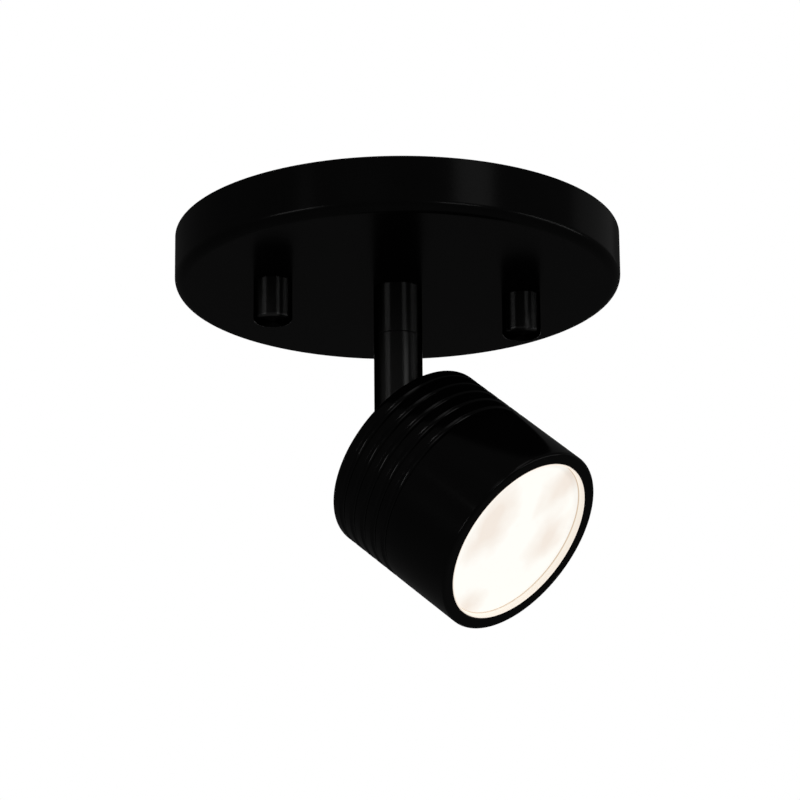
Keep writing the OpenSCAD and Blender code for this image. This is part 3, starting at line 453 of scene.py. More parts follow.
# ---------------------------------------------------------------- LED driver
# A small moulded box on the canopy's floor turns the mains into low voltage for the light source.
# Foam tape holds the case, the lid snaps on, and orange push-in terminals look out of a window at one end.

DRIVER_Y, DRIVER_L, DRIVER_W = 26, 60, 28
TERMINALS_Z = -7.6

pad = bar("driver_foam_pad", 54, 22, 1, (0, DRIVER_Y, -14), corner=1)
ease(pad, 0.12, 2)

# Closed-cell foam: quite dull, with cells of about half a millimetre.
foam, tree, shader, where = new_finish("white_foam_tape", Base_Color=linear("dcdad2"), Roughness=0.95)
cells = add_node(tree, "TexVoronoi", {"Scale": 2200}, {"Vector": where})
add_node(tree, "Mix", {COLOUR_A: linear("c4c2b8"), COLOUR_B: linear("e3e1da")},
         {FACTOR: cells.outputs["Distance"]}, data_type="RGBA", into={MIXED_COLOUR: shader.inputs["Base Color"]})
add_node(tree, "Bump", {"Strength": 0.6, "Distance": 0.0001}, {"Height": cells.outputs["Distance"]},
         into={"Normal": shader.inputs["Normal"]})
fit(pad, "canopy_assembly", ["driver_pad"], foam)

case = bar("driver_case_tray", DRIVER_L, DRIVER_W, 9.2, (0, DRIVER_Y, -8.9), corner=1.6)
cut(case, bar("hollow", 57.6, 25.6, 9.3, (0, DRIVER_Y, -7.65), corner=0.4))
ease(case, 0.2)
cut(case, bar("window", 4, 15.6, 12, (-29, DRIVER_Y, -4.1)))
drill(case, 2.6, 27, 32, at=shift(0, DRIVER_Y, -7.5) @ Matrix.Rotation(pi / 2, 4, "Y"), chamfer=0)
post = turn("post", [(1.5, -12.9), (1.5, -11.3), (1.3, -11.1)], sides=32, solid=True)
for index, post in enumerate(copies(post, "post_1", "post_2", "post_3", "post_4")):
    post.data.transform(shift((-25.8, 25.8)[index % 2], DRIVER_Y + (-9.8, 9.8)[index // 2]))
    cut(case, post, "UNION")

# Polycarbonate, moulded white: a cool white with a satin shine, broken by the tool's grain of 0.7 mm.
moulded_white, tree, shader, where = new_finish(
    "moulded_white_polycarbonate", Base_Color=linear("e7e7e3"), Roughness=0.45, Specular_IOR_Level=0.3)
grain = add_node(tree, "TexNoise", {"Scale": 1500, "Detail": 2}, {"Vector": where})
flow = add_node(tree, "TexNoise", {"Scale": 35, "Detail": 2}, {"Vector": where})
add_node(tree, "Mix", {COLOUR_A: linear("e0e0da"), COLOUR_B: linear("ececea")},
         {FACTOR: flow.outputs["Fac"]}, data_type="RGBA", into={MIXED_COLOUR: shader.inputs["Base Color"]})
add_node(tree, "MapRange", {"To Min": 0.36, "To Max": 0.52}, {"Value": grain.outputs["Fac"]},
         into={"Result": shader.inputs["Roughness"]})
add_node(tree, "Bump", {"Strength": 0.35, "Distance": 0.00004}, {"Height": grain.outputs["Fac"]},
         into={"Normal": shader.inputs["Normal"]})
fit(case, "canopy_assembly", ["driver_case"], moulded_white)

lid = bar("driver_lid_plate", DRIVER_L, DRIVER_W, 1.2, (0, DRIVER_Y, -3.7), corner=1.6)
cut(lid, bar("recess", 55.6, 23.6, 0.5, (0, DRIVER_Y, -3.1), corner=0.8))
rim = bar("rim", 57.4, 25.4, 1.1, (0, DRIVER_Y, -4.75), corner=0.8)
cut(rim, bar("inside", 55, 23, 2, (0, DRIVER_Y, -5.3), corner=0.5))
cut(lid, rim, "UNION")
ease(lid, 0.15)
cut(lid, bar("notch", 3, 17, 2, (-28.2, DRIVER_Y, -5.32)))
fit(lid, "canopy_assembly", ["driver_lid"], moulded_white)

terminals = bar("driver_terminal_block", 8, 15, 5, (-24.5, DRIVER_Y, TERMINALS_Z), corner=0.3, corner_steps=2)
ease(terminals, 0.15, 2)
for pole in (-5, 0, 5):
    entry = shift(0, DRIVER_Y + pole, TERMINALS_Z) @ Matrix.Rotation(pi / 2, 4, "Y")
    drill(terminals, 1.3, -28.5, -22.5, at=entry, chamfer=0.5, blind=True, sides=32)
for gap in (-2.5, 2.5):
    cut(terminals, bar("groove", 10, 0.5, 2, (-24.5, DRIVER_Y + gap, -4.6)))
    cut(terminals, bar("groove", 1, 0.5, 6, (-28.6, DRIVER_Y + gap, TERMINALS_Z)))

# Nylon again, coloured orange, glossier than the case and with a finer grain.
orange = grained("moulded_orange_nylon", scale=1800, detail=2, dark="cc5a18", light="e06d28",
                 rough=0.25, deep=0.00003, Base_Color=linear("d9641f"), Roughness=0.34)
fit(terminals, "canopy_assembly", ["driver_terminals"], orange)


# ---------------------------------------------------------------- Inside the driver
# A glass-fibre board carries a ferrite transformer wound and taped in yellow, and two capacitors in dark sleeves.
# They lie under the lid, and keep the shapes of their solids.


def dress(name, finish):
    """Gives a node that keeps its own shape its finish."""
    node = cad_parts[name]
    node.data.materials.clear()
    node.data.materials.append(finish)


# Solder mask over copper on a glass-fibre board: a glossy green with paler tracks, and a weave of half a millimetre.
mask_green, tree, shader, where = new_finish(
    "green_solder_mask_on_glass_fibre", Base_Color=linear("1c6b3c"), Roughness=0.3)
add_node(tree, "TexBrick", {"Scale": 90, "Color1": linear("1c6b3c"), "Color2": linear("238047"),
                            "Mortar": linear("3b9a60"), "Mortar Size": 0.03}, {"Vector": where},
         into={"Color": shader.inputs["Base Color"]})
weave = add_node(tree, "TexNoise", {"Scale": 1800}, {"Vector": where})
add_node(tree, "Bump", {"Strength": 0.15, "Distance": 0.00003}, {"Height": weave.outputs["Fac"]},
         into={"Normal": shader.inputs["Normal"]})
dress("driver_board", mask_green)

# Polyester film tape, wound on in turns: a glossy yellow, with a step every 2 mm or so.
tape, tree, shader, where = new_finish("yellow_film_tape", Base_Color=linear("d9b02c"), Roughness=0.25)
wraps = add_node(tree, "TexWave", {"Scale": 160, "Distortion": 0.6}, {"Vector": where}, bands_direction="Z")
add_node(tree, "Mix", {COLOUR_A: linear("cfa321"), COLOUR_B: linear("e0bb3d")},
         {FACTOR: wraps.outputs["Fac"]}, data_type="RGBA", into={MIXED_COLOUR: shader.inputs["Base Color"]})
add_node(tree, "Bump", {"Strength": 0.3, "Distance": 0.00005}, {"Height": wraps.outputs["Fac"]},
         into={"Normal": shader.inputs["Normal"]})
dress("driver_transformer", tape)

# Shrink sleeve: thin dark plastic, glossy, and slightly wrinkled in folds of 2 mm.
sleeve = grained("dark_shrink_sleeve", scale=500, detail=2, dark="1a1e26", light="272c36", rough=0.2, deep=0.00004,
                 Base_Color=linear("20242c"), Roughness=0.28)
dress("driver_capacitors", sleeve)


# ---------------------------------------------------------------- Collar
# The fixed upper part of the stem, turned from bar and painted: the nipple screws into its top.
# Its lower end is the swivel's bearing, with a ring groove for the stop pins, and its rims are lightly broken.

# Stem and head are turned towards the viewer, 40 degrees from the line of the studs.
HEADING = Matrix.Rotation(radians(-40), 4, "Z")
SEAM = -30.3
STOP_GROOVE_TOP, LIP_TOP = SEAM + 1.6, SEAM + 2.5
STOP_PIN_X = 5.15

collar = turn("collar_sleeve", [
    (3.6, SEAM + 0.1), (3.7, SEAM), (4.45, SEAM), (4.45, STOP_GROOVE_TOP), (5.85, STOP_GROOVE_TOP), (5.85, SEAM),
    (6.7, SEAM), *arc(6.8, SEAM + 0.1, 0.1, -90, 0, 3), *arc(6.7, -15.9, 0.2, 0, 90, 3), (5.2, CANOPY_LOW),
    (4.95, -15.95), (4.95, LIP_TOP), (3.6, LIP_TOP)], sides=160)
drill(collar, 0.6, SEAM + 1.3, SEAM + 2.05, at=HEADING @ shift(-STOP_PIN_X, 0), chamfer=0, blind=True, sides=24)
fit(collar, "canopy_assembly", ["collar"], paint_black)


# ---------------------------------------------------------------- Swivel
# A spring washer and a round brass nut on the spindle hold the stem up in the collar, and two pins stop its turn.
# A thin washer of black acetal fills the seam. All of them keep the shapes of their solids.

dress("collar_stop_pin", zinc)
dress("stem_stop_pin", zinc)
dress("spring_washer", zinc)
dress("swivel_nut", brass)

# Acetal, skimmed to its thickness: a dull black, so that the seam reads as a thin dark line.
acetal, tree, shader, where = new_finish("black_acetal", Base_Color=linear("030303"), Roughness=0.45,
                                         Specular_IOR_Level=0.03)
skim = add_node(tree, "TexNoise", {"Scale": 1500, "Detail": 2}, {"Vector": where})
add_node(tree, "Bump", {"Strength": 0.2, "Distance": 0.00002}, {"Height": skim.outputs["Fac"]},
         into={"Normal": shader.inputs["Normal"]})
dress("glide_washer", acetal)


# ---------------------------------------------------------------- Stem
# Turned steel bar, painted with the collar: a spindle on top runs in the collar and turns with the head.
# Below its shoulder it is milled to a flat tongue with a round end, drilled across for the tilt screw.

STEM_TOP = SEAM - 0.3
SHOULDER, PIVOT_Z = -53.7, -63.7
TONGUE_FLAT = Matrix.Rotation(pi / 2, 4, "X")

stem = turn("stem_bar", [
    (2.1, -43.95), (2.1, STEM_TOP + 4.9), (2.3, STEM_TOP + 5.1), (3.0, STEM_TOP + 5.1), (3.2, STEM_TOP + 4.9),
    (3.2, STEM_TOP + 3.3), (3.55, STEM_TOP + 3.2), (3.55, STEM_TOP), (6.7, STEM_TOP),
    *arc(6.8, STEM_TOP - 0.1, 0.1, 90, 0, 3), *arc(6.3, -53.1, 0.6, 0, -90, 6)], sides=160, solid=True)
tongue = turn("tongue", [(4.1, -3), (4.6, -2.5), (4.6, 2.5), (4.1, 3)], sides=96, solid=True)
tongue.data.transform(shift(0, 0, PIVOT_Z) @ TONGUE_FLAT)
pick(tongue, "VERT", lambda vertex: vertex.co.z > (PIVOT_Z + 0.01) * MM)
bpy.ops.transform.resize(value=(1, 1, 0), center_override=(0, 0, (SHOULDER + 1) * MM))
bpy.ops.object.mode_set(mode="OBJECT")
cut(stem, tongue, "UNION")
drill(stem, 2.05, -3, 3, at=shift(0, 0, PIVOT_Z) @ TONGUE_FLAT, chamfer=0.3)
for side in (-1, 1):
    slanted = shift(0, 4.95 * side, SHOULDER) @ Matrix.Rotation(radians(14 * side), 4, "X")
    drill(stem, 1.3, -2, 14.6, at=slanted, chamfer=0, blind=True, sides=32)
drill(stem, 0.6, STEM_TOP + 1, STEM_TOP - 2, at=shift(STOP_PIN_X, 0), chamfer=0, blind=True, sides=24)
fit(stem, "stem_assembly", ["stem"], paint_black, place=HEADING)


# ---------------------------------------------------------------- Knuckle
# A pressed steel bracket sits in a pocket in the head's back, held by two socket screws.
# The tilt screw pinches the bracket's two ears and the stem's tongue, with a nylon washer on either side of it, so
# that the head stays where it is put.

BACK_GAP, POCKET_H, SCREW_Y, OFF_DOWN = 3.4, 3.3, 11.7, 49
HEAD = HEADING @ shift(0, 0, PIVOT_Z) @ Matrix.Rotation(radians(180 - OFF_DOWN), 4, "Y") @ shift(0, 0, BACK_GAP)
PIVOT = shift(0, 0, -BACK_GAP) @ Matrix.Rotation(-pi / 2, 4, "X")
ACROSS = HEAD @ shift(0, 0, -BACK_GAP) @ Matrix.Rotation(-pi / 2, 4, "X")

bracket = round_bar("tilt_bracket_steel", 4.5, 15.2, 1.5, POCKET_H)
ease(bracket, 0.25)
ear = turn("ear", [(4.25, 0), (4.5, 0.25), (4.5, 1.55), (4.25, 1.8)], sides=96, solid=True)
ear.data.transform(PIVOT)
pick(ear, "VERT", lambda vertex: vertex.co.z > (0.01 - BACK_GAP) * MM)
bpy.ops.transform.resize(value=(1, 1, 0), center_override=(0, 0, 2.4 * MM))
bpy.ops.object.mode_set(mode="OBJECT")
for ear, start in zip(copies(ear, "ear_left", "ear_right"), (-5.25, 3.45)):
    ear.data.transform(shift(0, start))
    cut(bracket, ear, "UNION")
drill(bracket, 2.05, -5.25, 5.25, at=PIVOT, chamfer=0.2)
for side in (-1, 1):
    drill(bracket, 1.6, 1.5, POCKET_H, at=shift(0, SCREW_Y * side), chamfer=0)

# Black oxide on steel: a thin dark skin that is duller than paint, with the rolled metal's 2 mm mottle in it.
black_oxide, tree, shader, where = new_finish(
    "black_oxide_on_steel", Base_Color=linear("131315"), Metallic=0.6, Roughness=0.4, Specular_IOR_Level=0.15)
skin = add_node(tree, "TexNoise", {"Scale": 500, "Detail": 4}, {"Vector": where})
add_node(tree, "Mix", {COLOUR_A: linear("0c0c0e"), COLOUR_B: linear("1b1b1d")},
         {FACTOR: skin.outputs["Fac"]}, data_type="RGBA", into={MIXED_COLOUR: shader.inputs["Base Color"]})
add_node(tree, "MapRange", {"To Min": 0.32, "To Max": 0.5}, {"Value": skin.outputs["Fac"]},
         into={"Result": shader.inputs["Roughness"]})
add_node(tree, "Bump", {"Strength": 0.2, "Distance": 0.00003}, {"Height": skin.outputs["Fac"]},
         into={"Normal": shader.inputs["Normal"]})
fit(bracket, "head_assembly", ["tilt_bracket"], black_oxide, place=HEAD)


def socket(piece, across, low, high):
    """Broaches a hexagon socket, its size across the corners, from one height to another in mm."""
    bpy.ops.object.select_all(action="DESELECT")
    bpy.ops.mesh.primitive_cylinder_add(
        vertices=6, radius=across / 2 * MM, depth=(high - low) * MM, location=(0, 0, (low + high) / 2 * MM))
    bpy.ops.object.transform_apply(location=True, rotation=True, scale=True)
    cut(piece, bpy.context.object)


screw = turn("bracket_screw", [
    (1.2, 6.5), (1.5, 6.2), (1.5, 1.5), (2.6, 1.5), (2.7, 1.4), (2.7, 1.0), *arc(1.6, 1.0, 1.1, 0, -80, 6)],
    sides=64, solid=True)
socket(screw, 1.5, -1, 0.7)
for screw, side in zip(copies(screw, "bracket_screw_left", "bracket_screw_right"), (-1, 1)):
    fit(screw, "head_assembly", ["bracket_screws"], black_oxide, place=HEAD @ shift(0, SCREW_Y * side))

KNURLS = 96
tilt_screw = turn("tilt_screw_cap", [
    (3.1, -7.45), (3.5, -7.05), (3.5, -5.45), (3.3, -5.25), (2, -5.25), (2, 8.1), (1.65, 8.45)],
    sides=KNURLS, solid=True)
# The cap is knurled: every other line of its side is pressed in.
pick(tilt_screw, "VERT", lambda vertex: vertex.co.xy.length > 3.4 * MM and round(
    degrees(atan2(vertex.co.y, vertex.co.x)) / 360 * KNURLS) % 2 == 0)
bpy.ops.transform.resize(value=(0.955, 0.955, 1), center_override=(0, 0, 0))
bpy.ops.object.mode_set(mode="OBJECT")
socket(tilt_screw, 2.9, -9, -6.13)
fit(tilt_screw, "head_assembly", ["tilt_screw"], black_oxide, place=ACROSS, flat_up_to=25)

tilt_nut = hex_nut("tilt_nut_hex", 7, 5.25, 8.45, 2.05)
fit(tilt_nut, "head_assembly", ["tilt_nut"], zinc, place=ACROSS @ Matrix.Rotation(pi / 6, 4, "Z"))

friction = turn("tilt_washer", [(2.05, 0), (4.1, 0), (4.2, 0.1), (4.2, 0.3), (4.1, 0.4), (2.05, 0.4)], sides=96)
for friction, low in zip(copies(friction, "tilt_washer_left", "tilt_washer_right"), (-3.45, 3.05)):
    fit(friction, "head_assembly", ["tilt_washers"], nylon, place=ACROSS @ shift(0, 0, low))


# ---------------------------------------------------------------- Head housing
# A cup turned from aluminium bar: five shallow round grooves behind, a thick back wall, and a deep bore.
# Its edges are broken by the tool, and it is anodised and sprayed satin black.

HEAD_R, FRONT, BACK_WALL, LEDGE = 28.3, 46.6, 9, 40
LEAD_Y = 19.8
GROOVES, GROOVE_FIRST, GROOVE_PITCH, GROOVE_DEPTH = 5, 4.6, 4.3, 0.5
GROOVE_R, GROOVE_REACH, GROOVE_BEND = 1.46, 1.16, 48.9 * 0.96

grooves = []
for index in range(GROOVES):
    middle = GROOVE_FIRST + GROOVE_PITCH * index
    grooves += [(HEAD_R, middle - GROOVE_REACH),
                *arc(HEAD_R - GROOVE_DEPTH + GROOVE_R, middle, GROOVE_R, 180 + GROOVE_BEND, 180 - GROOVE_BEND, 12),
                (HEAD_R, middle + GROOVE_REACH)]
housing = turn("head_cup", [
    (23.6, BACK_WALL), (23.6, LEDGE), (24.85, LEDGE), (24.85, 42.8), (25.15, 42.8), (25.15, 43.8), (24.85, 43.8),
    (24.85, 46.45), (25, FRONT), (26.5, FRONT), *arc(27.5, 45.8, 0.8, 90, 0, 8), (HEAD_R, 44), (HEAD_R, 26),
    *grooves[::-1], *arc(26.7, 1.6, 1.6, 0, -90, 8), (26, 0)], sides=256, solid=True)
pocket = round_bar("pocket", 4.8, 15.5, -2, POCKET_H)
cut(housing, pocket)
for side in (-1, 1):
    drill(housing, 1.55, POCKET_H, 6.8, at=shift(0, SCREW_Y * side), chamfer=0.1, blind=True, sides=32)
drill(housing, 2.4, 0, BACK_WALL, at=shift(0, LEAD_Y), chamfer=0.2)
for index in range(3):
    bit = turn("bit", [(1.3, 5.2), (1.3, 10)], sides=24, solid=True)
    bit.data.transform(Matrix.Rotation(radians(-90 + 120 * index), 4, "Z") @ shift(17.5, 0))
    cut(housing, bit)

# Satin black on turned aluminium: nearly no light comes back from the black itself, so that the body looks empty and
# the grooves draw thin bright arcs. The tool's rings under the coat, finer in truth, are drawn 0.5 mm apart to show.
head_spot, head_turned = HEAD.decompose()[:2]
head_black, tree, shader, where = new_finish(
    "satin_black_on_turned_aluminium", Base_Color=linear("010101"), Roughness=0.5, Specular_IOR_Level=0.0,
    Coat_Weight=0.034, Coat_Roughness=0.14)
own = add_node(tree, "Mapping", {"Location": head_spot, "Rotation": head_turned.to_euler()},
               {"Vector": where}, vector_type="TEXTURE")
lathe = add_node(tree, "Mapping", {"Scale": (12, 12, 1800)}, {"Vector": own.outputs["Vector"]})
rings = add_node(tree, "TexNoise", {"Scale": 1, "Detail": 1}, {"Vector": lathe.outputs["Vector"]})
mist = add_node(tree, "TexNoise", {"Scale": 1300, "Detail": 2}, {"Vector": where})
both = add_node(tree, "Mix", {FACTOR: 0.5}, {NUMBER_A: mist.outputs["Fac"], NUMBER_B: rings.outputs["Fac"]})
cloud = add_node(tree, "TexNoise", {"Scale": 60, "Detail": 3}, {"Vector": where})
add_node(tree, "Mix", {COLOUR_A: linear("000000"), COLOUR_B: linear("020202")},
         {FACTOR: cloud.outputs["Fac"]}, data_type="RGBA", into={MIXED_COLOUR: shader.inputs["Base Color"]})
bump = add_node(tree, "Bump", {"Strength": 0.12, "Distance": 0.00003}, {"Height": both.outputs[MIXED_NUMBER]})
tree.links.new(bump.outputs["Normal"], shader.inputs["Normal"])
tree.links.new(bump.outputs["Normal"], shader.inputs["Coat Normal"])
fit(housing, "head_assembly", ["head_housing"], head_black, place=HEAD)


# ---------------------------------------------------------------- Lead grommet
# A ring of black rubber, moulded with a groove of its own, is pushed into the hole in the head's back wall.
# It keeps the leads off the metal's edge.

grommet = turn("lead_grommet_rubber", [
    (1.4, 4.7), (1.6, 5), (2.1, 5), (2.3, 4.8), (2.3, 0), (3.0, 0), *arc(2.95, -0.3, 0.25, 0, -90, 4),
    (2.0, -0.8), *arc(1.8, -0.4, 0.4, -90, -180, 4)], sides=64)

# Rubber: a dull black that has bloomed grey in specks of a millimetre.
rubber = grained("black_rubber", scale=900, detail=3, dark="0a0a0b", light="141415", rough=0.3, deep=0.00003,
                 Base_Color=linear("0d0d0e"), Roughness=0.6, Specular_IOR_Level=0.2)
fit(grommet, "head_assembly", ["lead_grommet"], rubber, place=HEAD @ shift(0, LEAD_Y))


# ---------------------------------------------------------------- Light source
# A round aluminium board, white on top, lies on a grey thermal pad against the head's back wall.
# Three screws hold it, and the light comes from a disc of yellow phosphor on its middle.

# Silicone filled with grey powder: dull, with a grain that is drawn a third of a millimetre coarse to show.
pad_grey = grained("grey_thermal_pad", scale=3000, detail=2, dark="8b8e95", light="a8abb2", rough=0.2, deep=0.00002,
                   Base_Color=linear("9c9fa6"), Roughness=0.8)
dress("thermal_pad", pad_grey)

# White solder mask on aluminium: a clean glossy white, with the faint waves in which it levelled.
mask_white = grained("white_solder_mask_on_aluminium", scale=900, detail=2, dark="e8e8e2", light="f4f4f1",
                     rough=0.1, deep=0.00002, Base_Color=linear("f0f0ec"), Roughness=0.3)
dress("led_board", mask_white)

# Phosphor in silicone, poured on the chip: a warm yellow with fine specks, which glows when it is lit.
phosphor = grained("phosphor_in_silicone", scale=2500, detail=2, dark="ecc94f", light="f6e085",
                   rough=0.2, deep=0.00002, Base_Color=linear("f2d76a"), Roughness=0.35,
                   Emission_Strength=0.6, Emission_Color=linear("ffe9b0"))
dress("led_chip", phosphor)
dress("board_screws", zinc)


# ---------------------------------------------------------------- Reflector and lens gasket
# A white moulded bowl takes the light from the chip out to the mouth, where its flange rests on a ledge.
# A silicone ring lies between that flange and the lens, and keeps dust out.

THROAT_R, THROAT_Z, OPENS, BOWL_WALL, BOWL_STEPS = 8.4, 12.2, 13.9, 1.2, 16
flare = [(THROAT_R + OPENS * t ** 0.6, THROAT_Z + (LEDGE - THROAT_Z) * t)
         for t in [i / BOWL_STEPS for i in range(BOWL_STEPS + 1)]]
bowl = turn("reflector_bowl", [
    *flare, (22.3, 40.8), (22.5, 41), (24.55, 41), (24.75, 40.8), (24.75, 40.2), (24.55, LEDGE), (23.5, LEDGE),
    *[(radius + BOWL_WALL, height) for radius, height in flare[-2::-1]]], sides=128)
fit(bowl, "head_assembly", ["reflector"], moulded_white, place=HEAD)

gasket = turn("lens_gasket_ring", [
    *arc(24.35, 41.4, 0.4, 0, -90, 4), *arc(22.95, 41.4, 0.4, -90, -180, 4), *arc(22.95, 41.9, 0.4, 180, 90, 4),
    *arc(24.35, 41.9, 0.4, 90, 0, 4)], sides=128)

# Silicone: a soft, milky, dull ring that lets a little light in.
silicone = grained("translucent_silicone", scale=1200, detail=2, dark="cfcfcb", light="e0e0dd",
                   rough=0.2, deep=0.00003, Base_Color=linear("d9d9d6"), Roughness=0.5, Subsurface_Weight=0.2)
fit(gasket, "head_assembly", ["lens_gasket"], silicone, place=HEAD)


# ---------------------------------------------------------------- Lens
# A dish of opal acrylic, injection moulded: a 2 mm disc, frosted outside, with a thin upturned rim.
# Its glow from the light behind it is painted on, and three ribs on its side click into a groove in the mouth.

LENS_BACK, LENS_FACE = 42.3, 44.3

lens = turn("lens_dish", [
    (24.55, LENS_BACK), (24.75, 42.5), (24.75, 46.25), *arc(24.5, 46.15, 0.25, 0, 180, 6), (24.25, 44.6),
    *arc(23.95, 44.6, 0.3, 0, -90, 4), (22, LENS_FACE), (14, LENS_FACE), (7, LENS_FACE)], sides=192, solid=True)
rib = turn("rib", [(24.9, 42.85), (25.04, 42.95), (25.04, 43.65), (24.9, 43.75)], sides=192, solid=True)
cut(rib, bar("keep", 3, 6, 3, (24.9, 0, 43.3)), "INTERSECT")
for index, rib in enumerate(copies(rib, "rib_1", "rib_2", "rib_3")):
    rib.data.transform(Matrix.Rotation(radians(120 * index), 4, "Z"))
    cut(lens, rib, "UNION")

# The disc's glow, lit from behind, is painted on as emission: white, with soft beige clouds of painted shade where
# the bowl sends it less light. Its rim has a warmer peach glow painted on, and the corner between them shows a
# thin tan line of painted shade.
opal, tree, shader, where = new_finish(
    "frosted_opal_acrylic_with_painted_glow", Base_Color=linear("6e6b66"), Roughness=0.5, Emission_Strength=0.775)
own = add_node(tree, "Mapping", {"Location": head_spot, "Rotation": head_turned.to_euler()},
               {"Vector": where}, vector_type="TEXTURE")
drift = add_node(tree, "TexNoise", {"Scale": 110, "Detail": 2}, {"Vector": own.outputs["Vector"]})
shade = add_node(tree, "MapRange", {"From Min": 0.35, "From Max": 0.65, "To Min": -0.25, "To Max": 0.1},
                 {"Value": drift.outputs["Fac"]}).outputs["Result"]
# Each cloud of painted shade: its middle on the disc and its radius, in mm.
for x, y, size in ((4, -13.5, 11), (-6, -14.5, 11), (-4, 15, 11), (-15, 4.8, 9), (-22.5, 5, 8), (23, 0, 9)):
    spot = add_node(tree, "Mapping", {"Location": (x * MM, y * MM, LENS_FACE * MM), "Scale": (size * MM,) * 3},
                    {"Vector": own.outputs["Vector"]}, vector_type="TEXTURE")
    painted_shade_spot = add_node(tree, "TexGradient", feeds={"Vector": spot.outputs["Vector"]}, gradient_type="SPHERICAL")
    shade = add_node(tree, "Math", feeds={0: shade, 1: painted_shade_spot.outputs["Fac"]}, operation="ADD").outputs[0]
# The painted glow's colour: white where the disc is fully lit, beige in the painted shade of the clouds.
warm = add_node(tree, "ValToRGB", feeds={"Fac": shade})
warm.color_ramp.elements[0].position = 0.05
warm.color_ramp.elements[0].color = linear("fffef9")
warm.color_ramp.elements[1].position = 0.9
warm.color_ramp.elements[1].color = linear("eee2d7")
# How far forward a point lies: the disc's face is at 0.12, and the rim's edge is near 1.
forward = add_node(tree, "SeparateXYZ", feeds={"Vector": own.outputs["Vector"]})
depth = add_node(tree, "MapRange", {"From Min": 44 * MM, "From Max": 46.5 * MM}, {"Value": forward.outputs["Z"]})
# The rim's painted glow: warm white turning to peach towards its edge, with a tan line of painted shade at its
# corner.
rim_painted_glow = add_node(tree, "ValToRGB", feeds={"Fac": depth.outputs["Result"]})
for position, code in ((0.30, "fff7ea"), (1.0, "f9ecde")):
    rim_painted_glow.color_ramp.elements[int(position)].position = position
    rim_painted_glow.color_ramp.elements[int(position)].color = linear(code)
# A thin tan line of painted shade where the rim turns up from the disc.
corner = rim_painted_glow.color_ramp.elements.new(0.18)
corner.color = linear("c9a882")
on_rim = add_node(tree, "MapRange", {"From Min": 0.12, "From Max": 0.16}, {"Value": depth.outputs["Result"]})
# Beyond the corner, the disc's painted glow gives way to the rim's painted glow.
add_node(tree, "Mix", feeds={FACTOR: on_rim.outputs["Result"], COLOUR_A: warm.outputs["Color"],
                             COLOUR_B: rim_painted_glow.outputs["Color"]}, data_type="RGBA",
         into={MIXED_COLOUR: shader.inputs["Emission Color"]})
frost = add_node(tree, "TexNoise", {"Scale": 2500, "Detail": 2}, {"Vector": where})
add_node(tree, "Bump", {"Strength": 0.2, "Distance": 0.00003}, {"Height": frost.outputs["Fac"]},
         into={"Normal": shader.inputs["Normal"]})
fit(lens, "head_assembly", ["lens"], opal, place=HEAD)


# ---------------------------------------------------------------- Studio
# A pale floor far below, white surroundings, and soft boxes whose reflections draw the black shapes.
# The camera looks up at the light from below, as it hangs.

# The camera's place, turn, climb and roll were fitted to the outlines of canopy and head in the photo.
CAMERA_SPOT = (-0.2112, -1.0785, -0.4157)
VIEW_TURN, VIEW_UP, VIEW_ROLL = radians(-11.1), 0.3221, -0.0089
FLOOR_Z = -1.45


def seen_directly(tree, hidden, shown):
    """One strength for light on its way to a dull surface, and another for what the eye, gloss and glass see."""
    rays = add_node(tree, "LightPath").outputs
    seen = add_node(tree, "Math", feeds={0: rays["Is Camera Ray"], 1: rays["Is Glossy Ray"]}, operation="ADD")
    seen = add_node(tree, "Math", feeds={0: seen.outputs[0], 1: rays["Is Transmission Ray"]}, operation="ADD",
                    use_clamp=True)
    return add_node(tree, "MapRange", {"To Min": hidden, "To Max": shown}, {"Value": seen.outputs[0]}).outputs[0]


bpy.ops.object.select_all(action="DESELECT")
bpy.ops.mesh.primitive_plane_add(size=60, location=(0, 0, FLOOR_Z))
floor = bpy.context.object
floor.name = "studio_floor"
chalky, tree, shader, where = new_finish(
    "pale_studio_floor", Base_Color=linear("e9e9e9"), Roughness=0.9, Emission_Color=linear("ffffff"))
tree.links.new(seen_directly(tree, 0, 0.62), shader.inputs["Emission Strength"])
floor.data.materials.append(chalky)

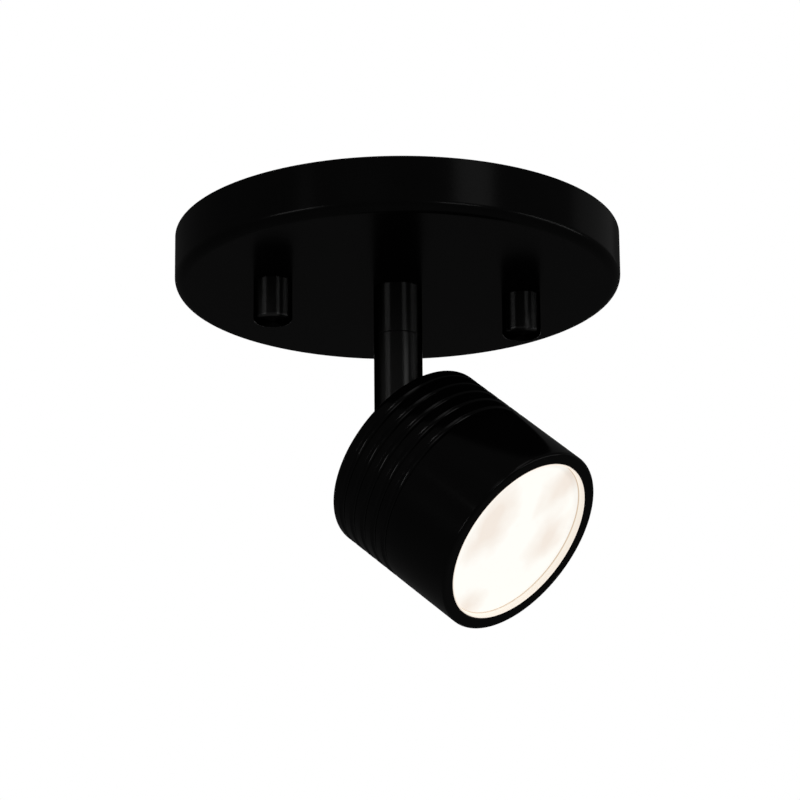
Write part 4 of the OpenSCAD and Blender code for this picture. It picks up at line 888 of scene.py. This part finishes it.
world = bpy.data.worlds.new("studio_surroundings")
bpy.context.scene.world = world
world.use_nodes = True
tree = world.node_tree
tree.links.new(seen_directly(tree, 0.3, 1), tree.nodes["Background"].inputs["Strength"])
tree.nodes["Background"].inputs["Color"].default_value = (1, 1, 1, 1)

# Each soft box: how far round to the right of the camera it stands and how high, then how wide and high it looks
# from the light, all in degrees, and how bright its face is, where the white surroundings are 1. All of them are
# AWAY metres from the light's middle. Upright sides, as the canopy's, mirror what stands about 18 degrees up.
AWAY, LIGHT_MIDDLE = 1.6, Vector((0, 0, -0.05))
for label, right, up, wide, high, bright in (
        ("left_strip", -50, -3, 24, 3, 66), ("front_strip", 30, -3, 17, 3, 62), ("right_strip", 82, -3, 40, 3, 46),
        ("left_box", -46, 18, 6, 6, 6), ("right_box", 39, 20, 18, 14, 8.5), ("back_right_box", 124, 20, 43, 14, 2),
        ("high_box", -14, 38, 16, 16, 8), ("overhead_box", 34, 56, 18, 18, 14)):
    heading, climb = radians(right) + VIEW_TURN, radians(up)
    spot = Vector((sin(heading) * cos(climb), -cos(heading) * cos(climb), sin(climb))) * AWAY
    bpy.ops.object.light_add(type="AREA", location=spot + LIGHT_MIDDLE)
    box = bpy.context.object
    box.name = label
    box.rotation_euler = spot.to_track_quat("Z", "Y").to_euler()
    box.data.shape = "RECTANGLE"
    box.data.size, box.data.size_y = (2 * AWAY * tan(radians(angle / 2)) for angle in (wide, high))
    box.data.energy = bright * pi * box.data.size * box.data.size_y
    box.visible_camera = False

FOCAL_PIXELS, FRAME_PIXELS, SENSOR = 4100, 800, 36
bpy.ops.object.camera_add(location=CAMERA_SPOT)
camera = bpy.context.object
look_up = Euler((radians(90) + VIEW_UP, 0, VIEW_TURN)).to_matrix()
camera.rotation_euler = (look_up @ Matrix.Rotation(VIEW_ROLL, 3, "Z")).to_euler()
camera.data.sensor_width = SENSOR
camera.data.lens = SENSOR * FOCAL_PIXELS / FRAME_PIXELS
bpy.context.scene.camera = camera
bpy.context.scene.view_settings.view_transform = "Standard"
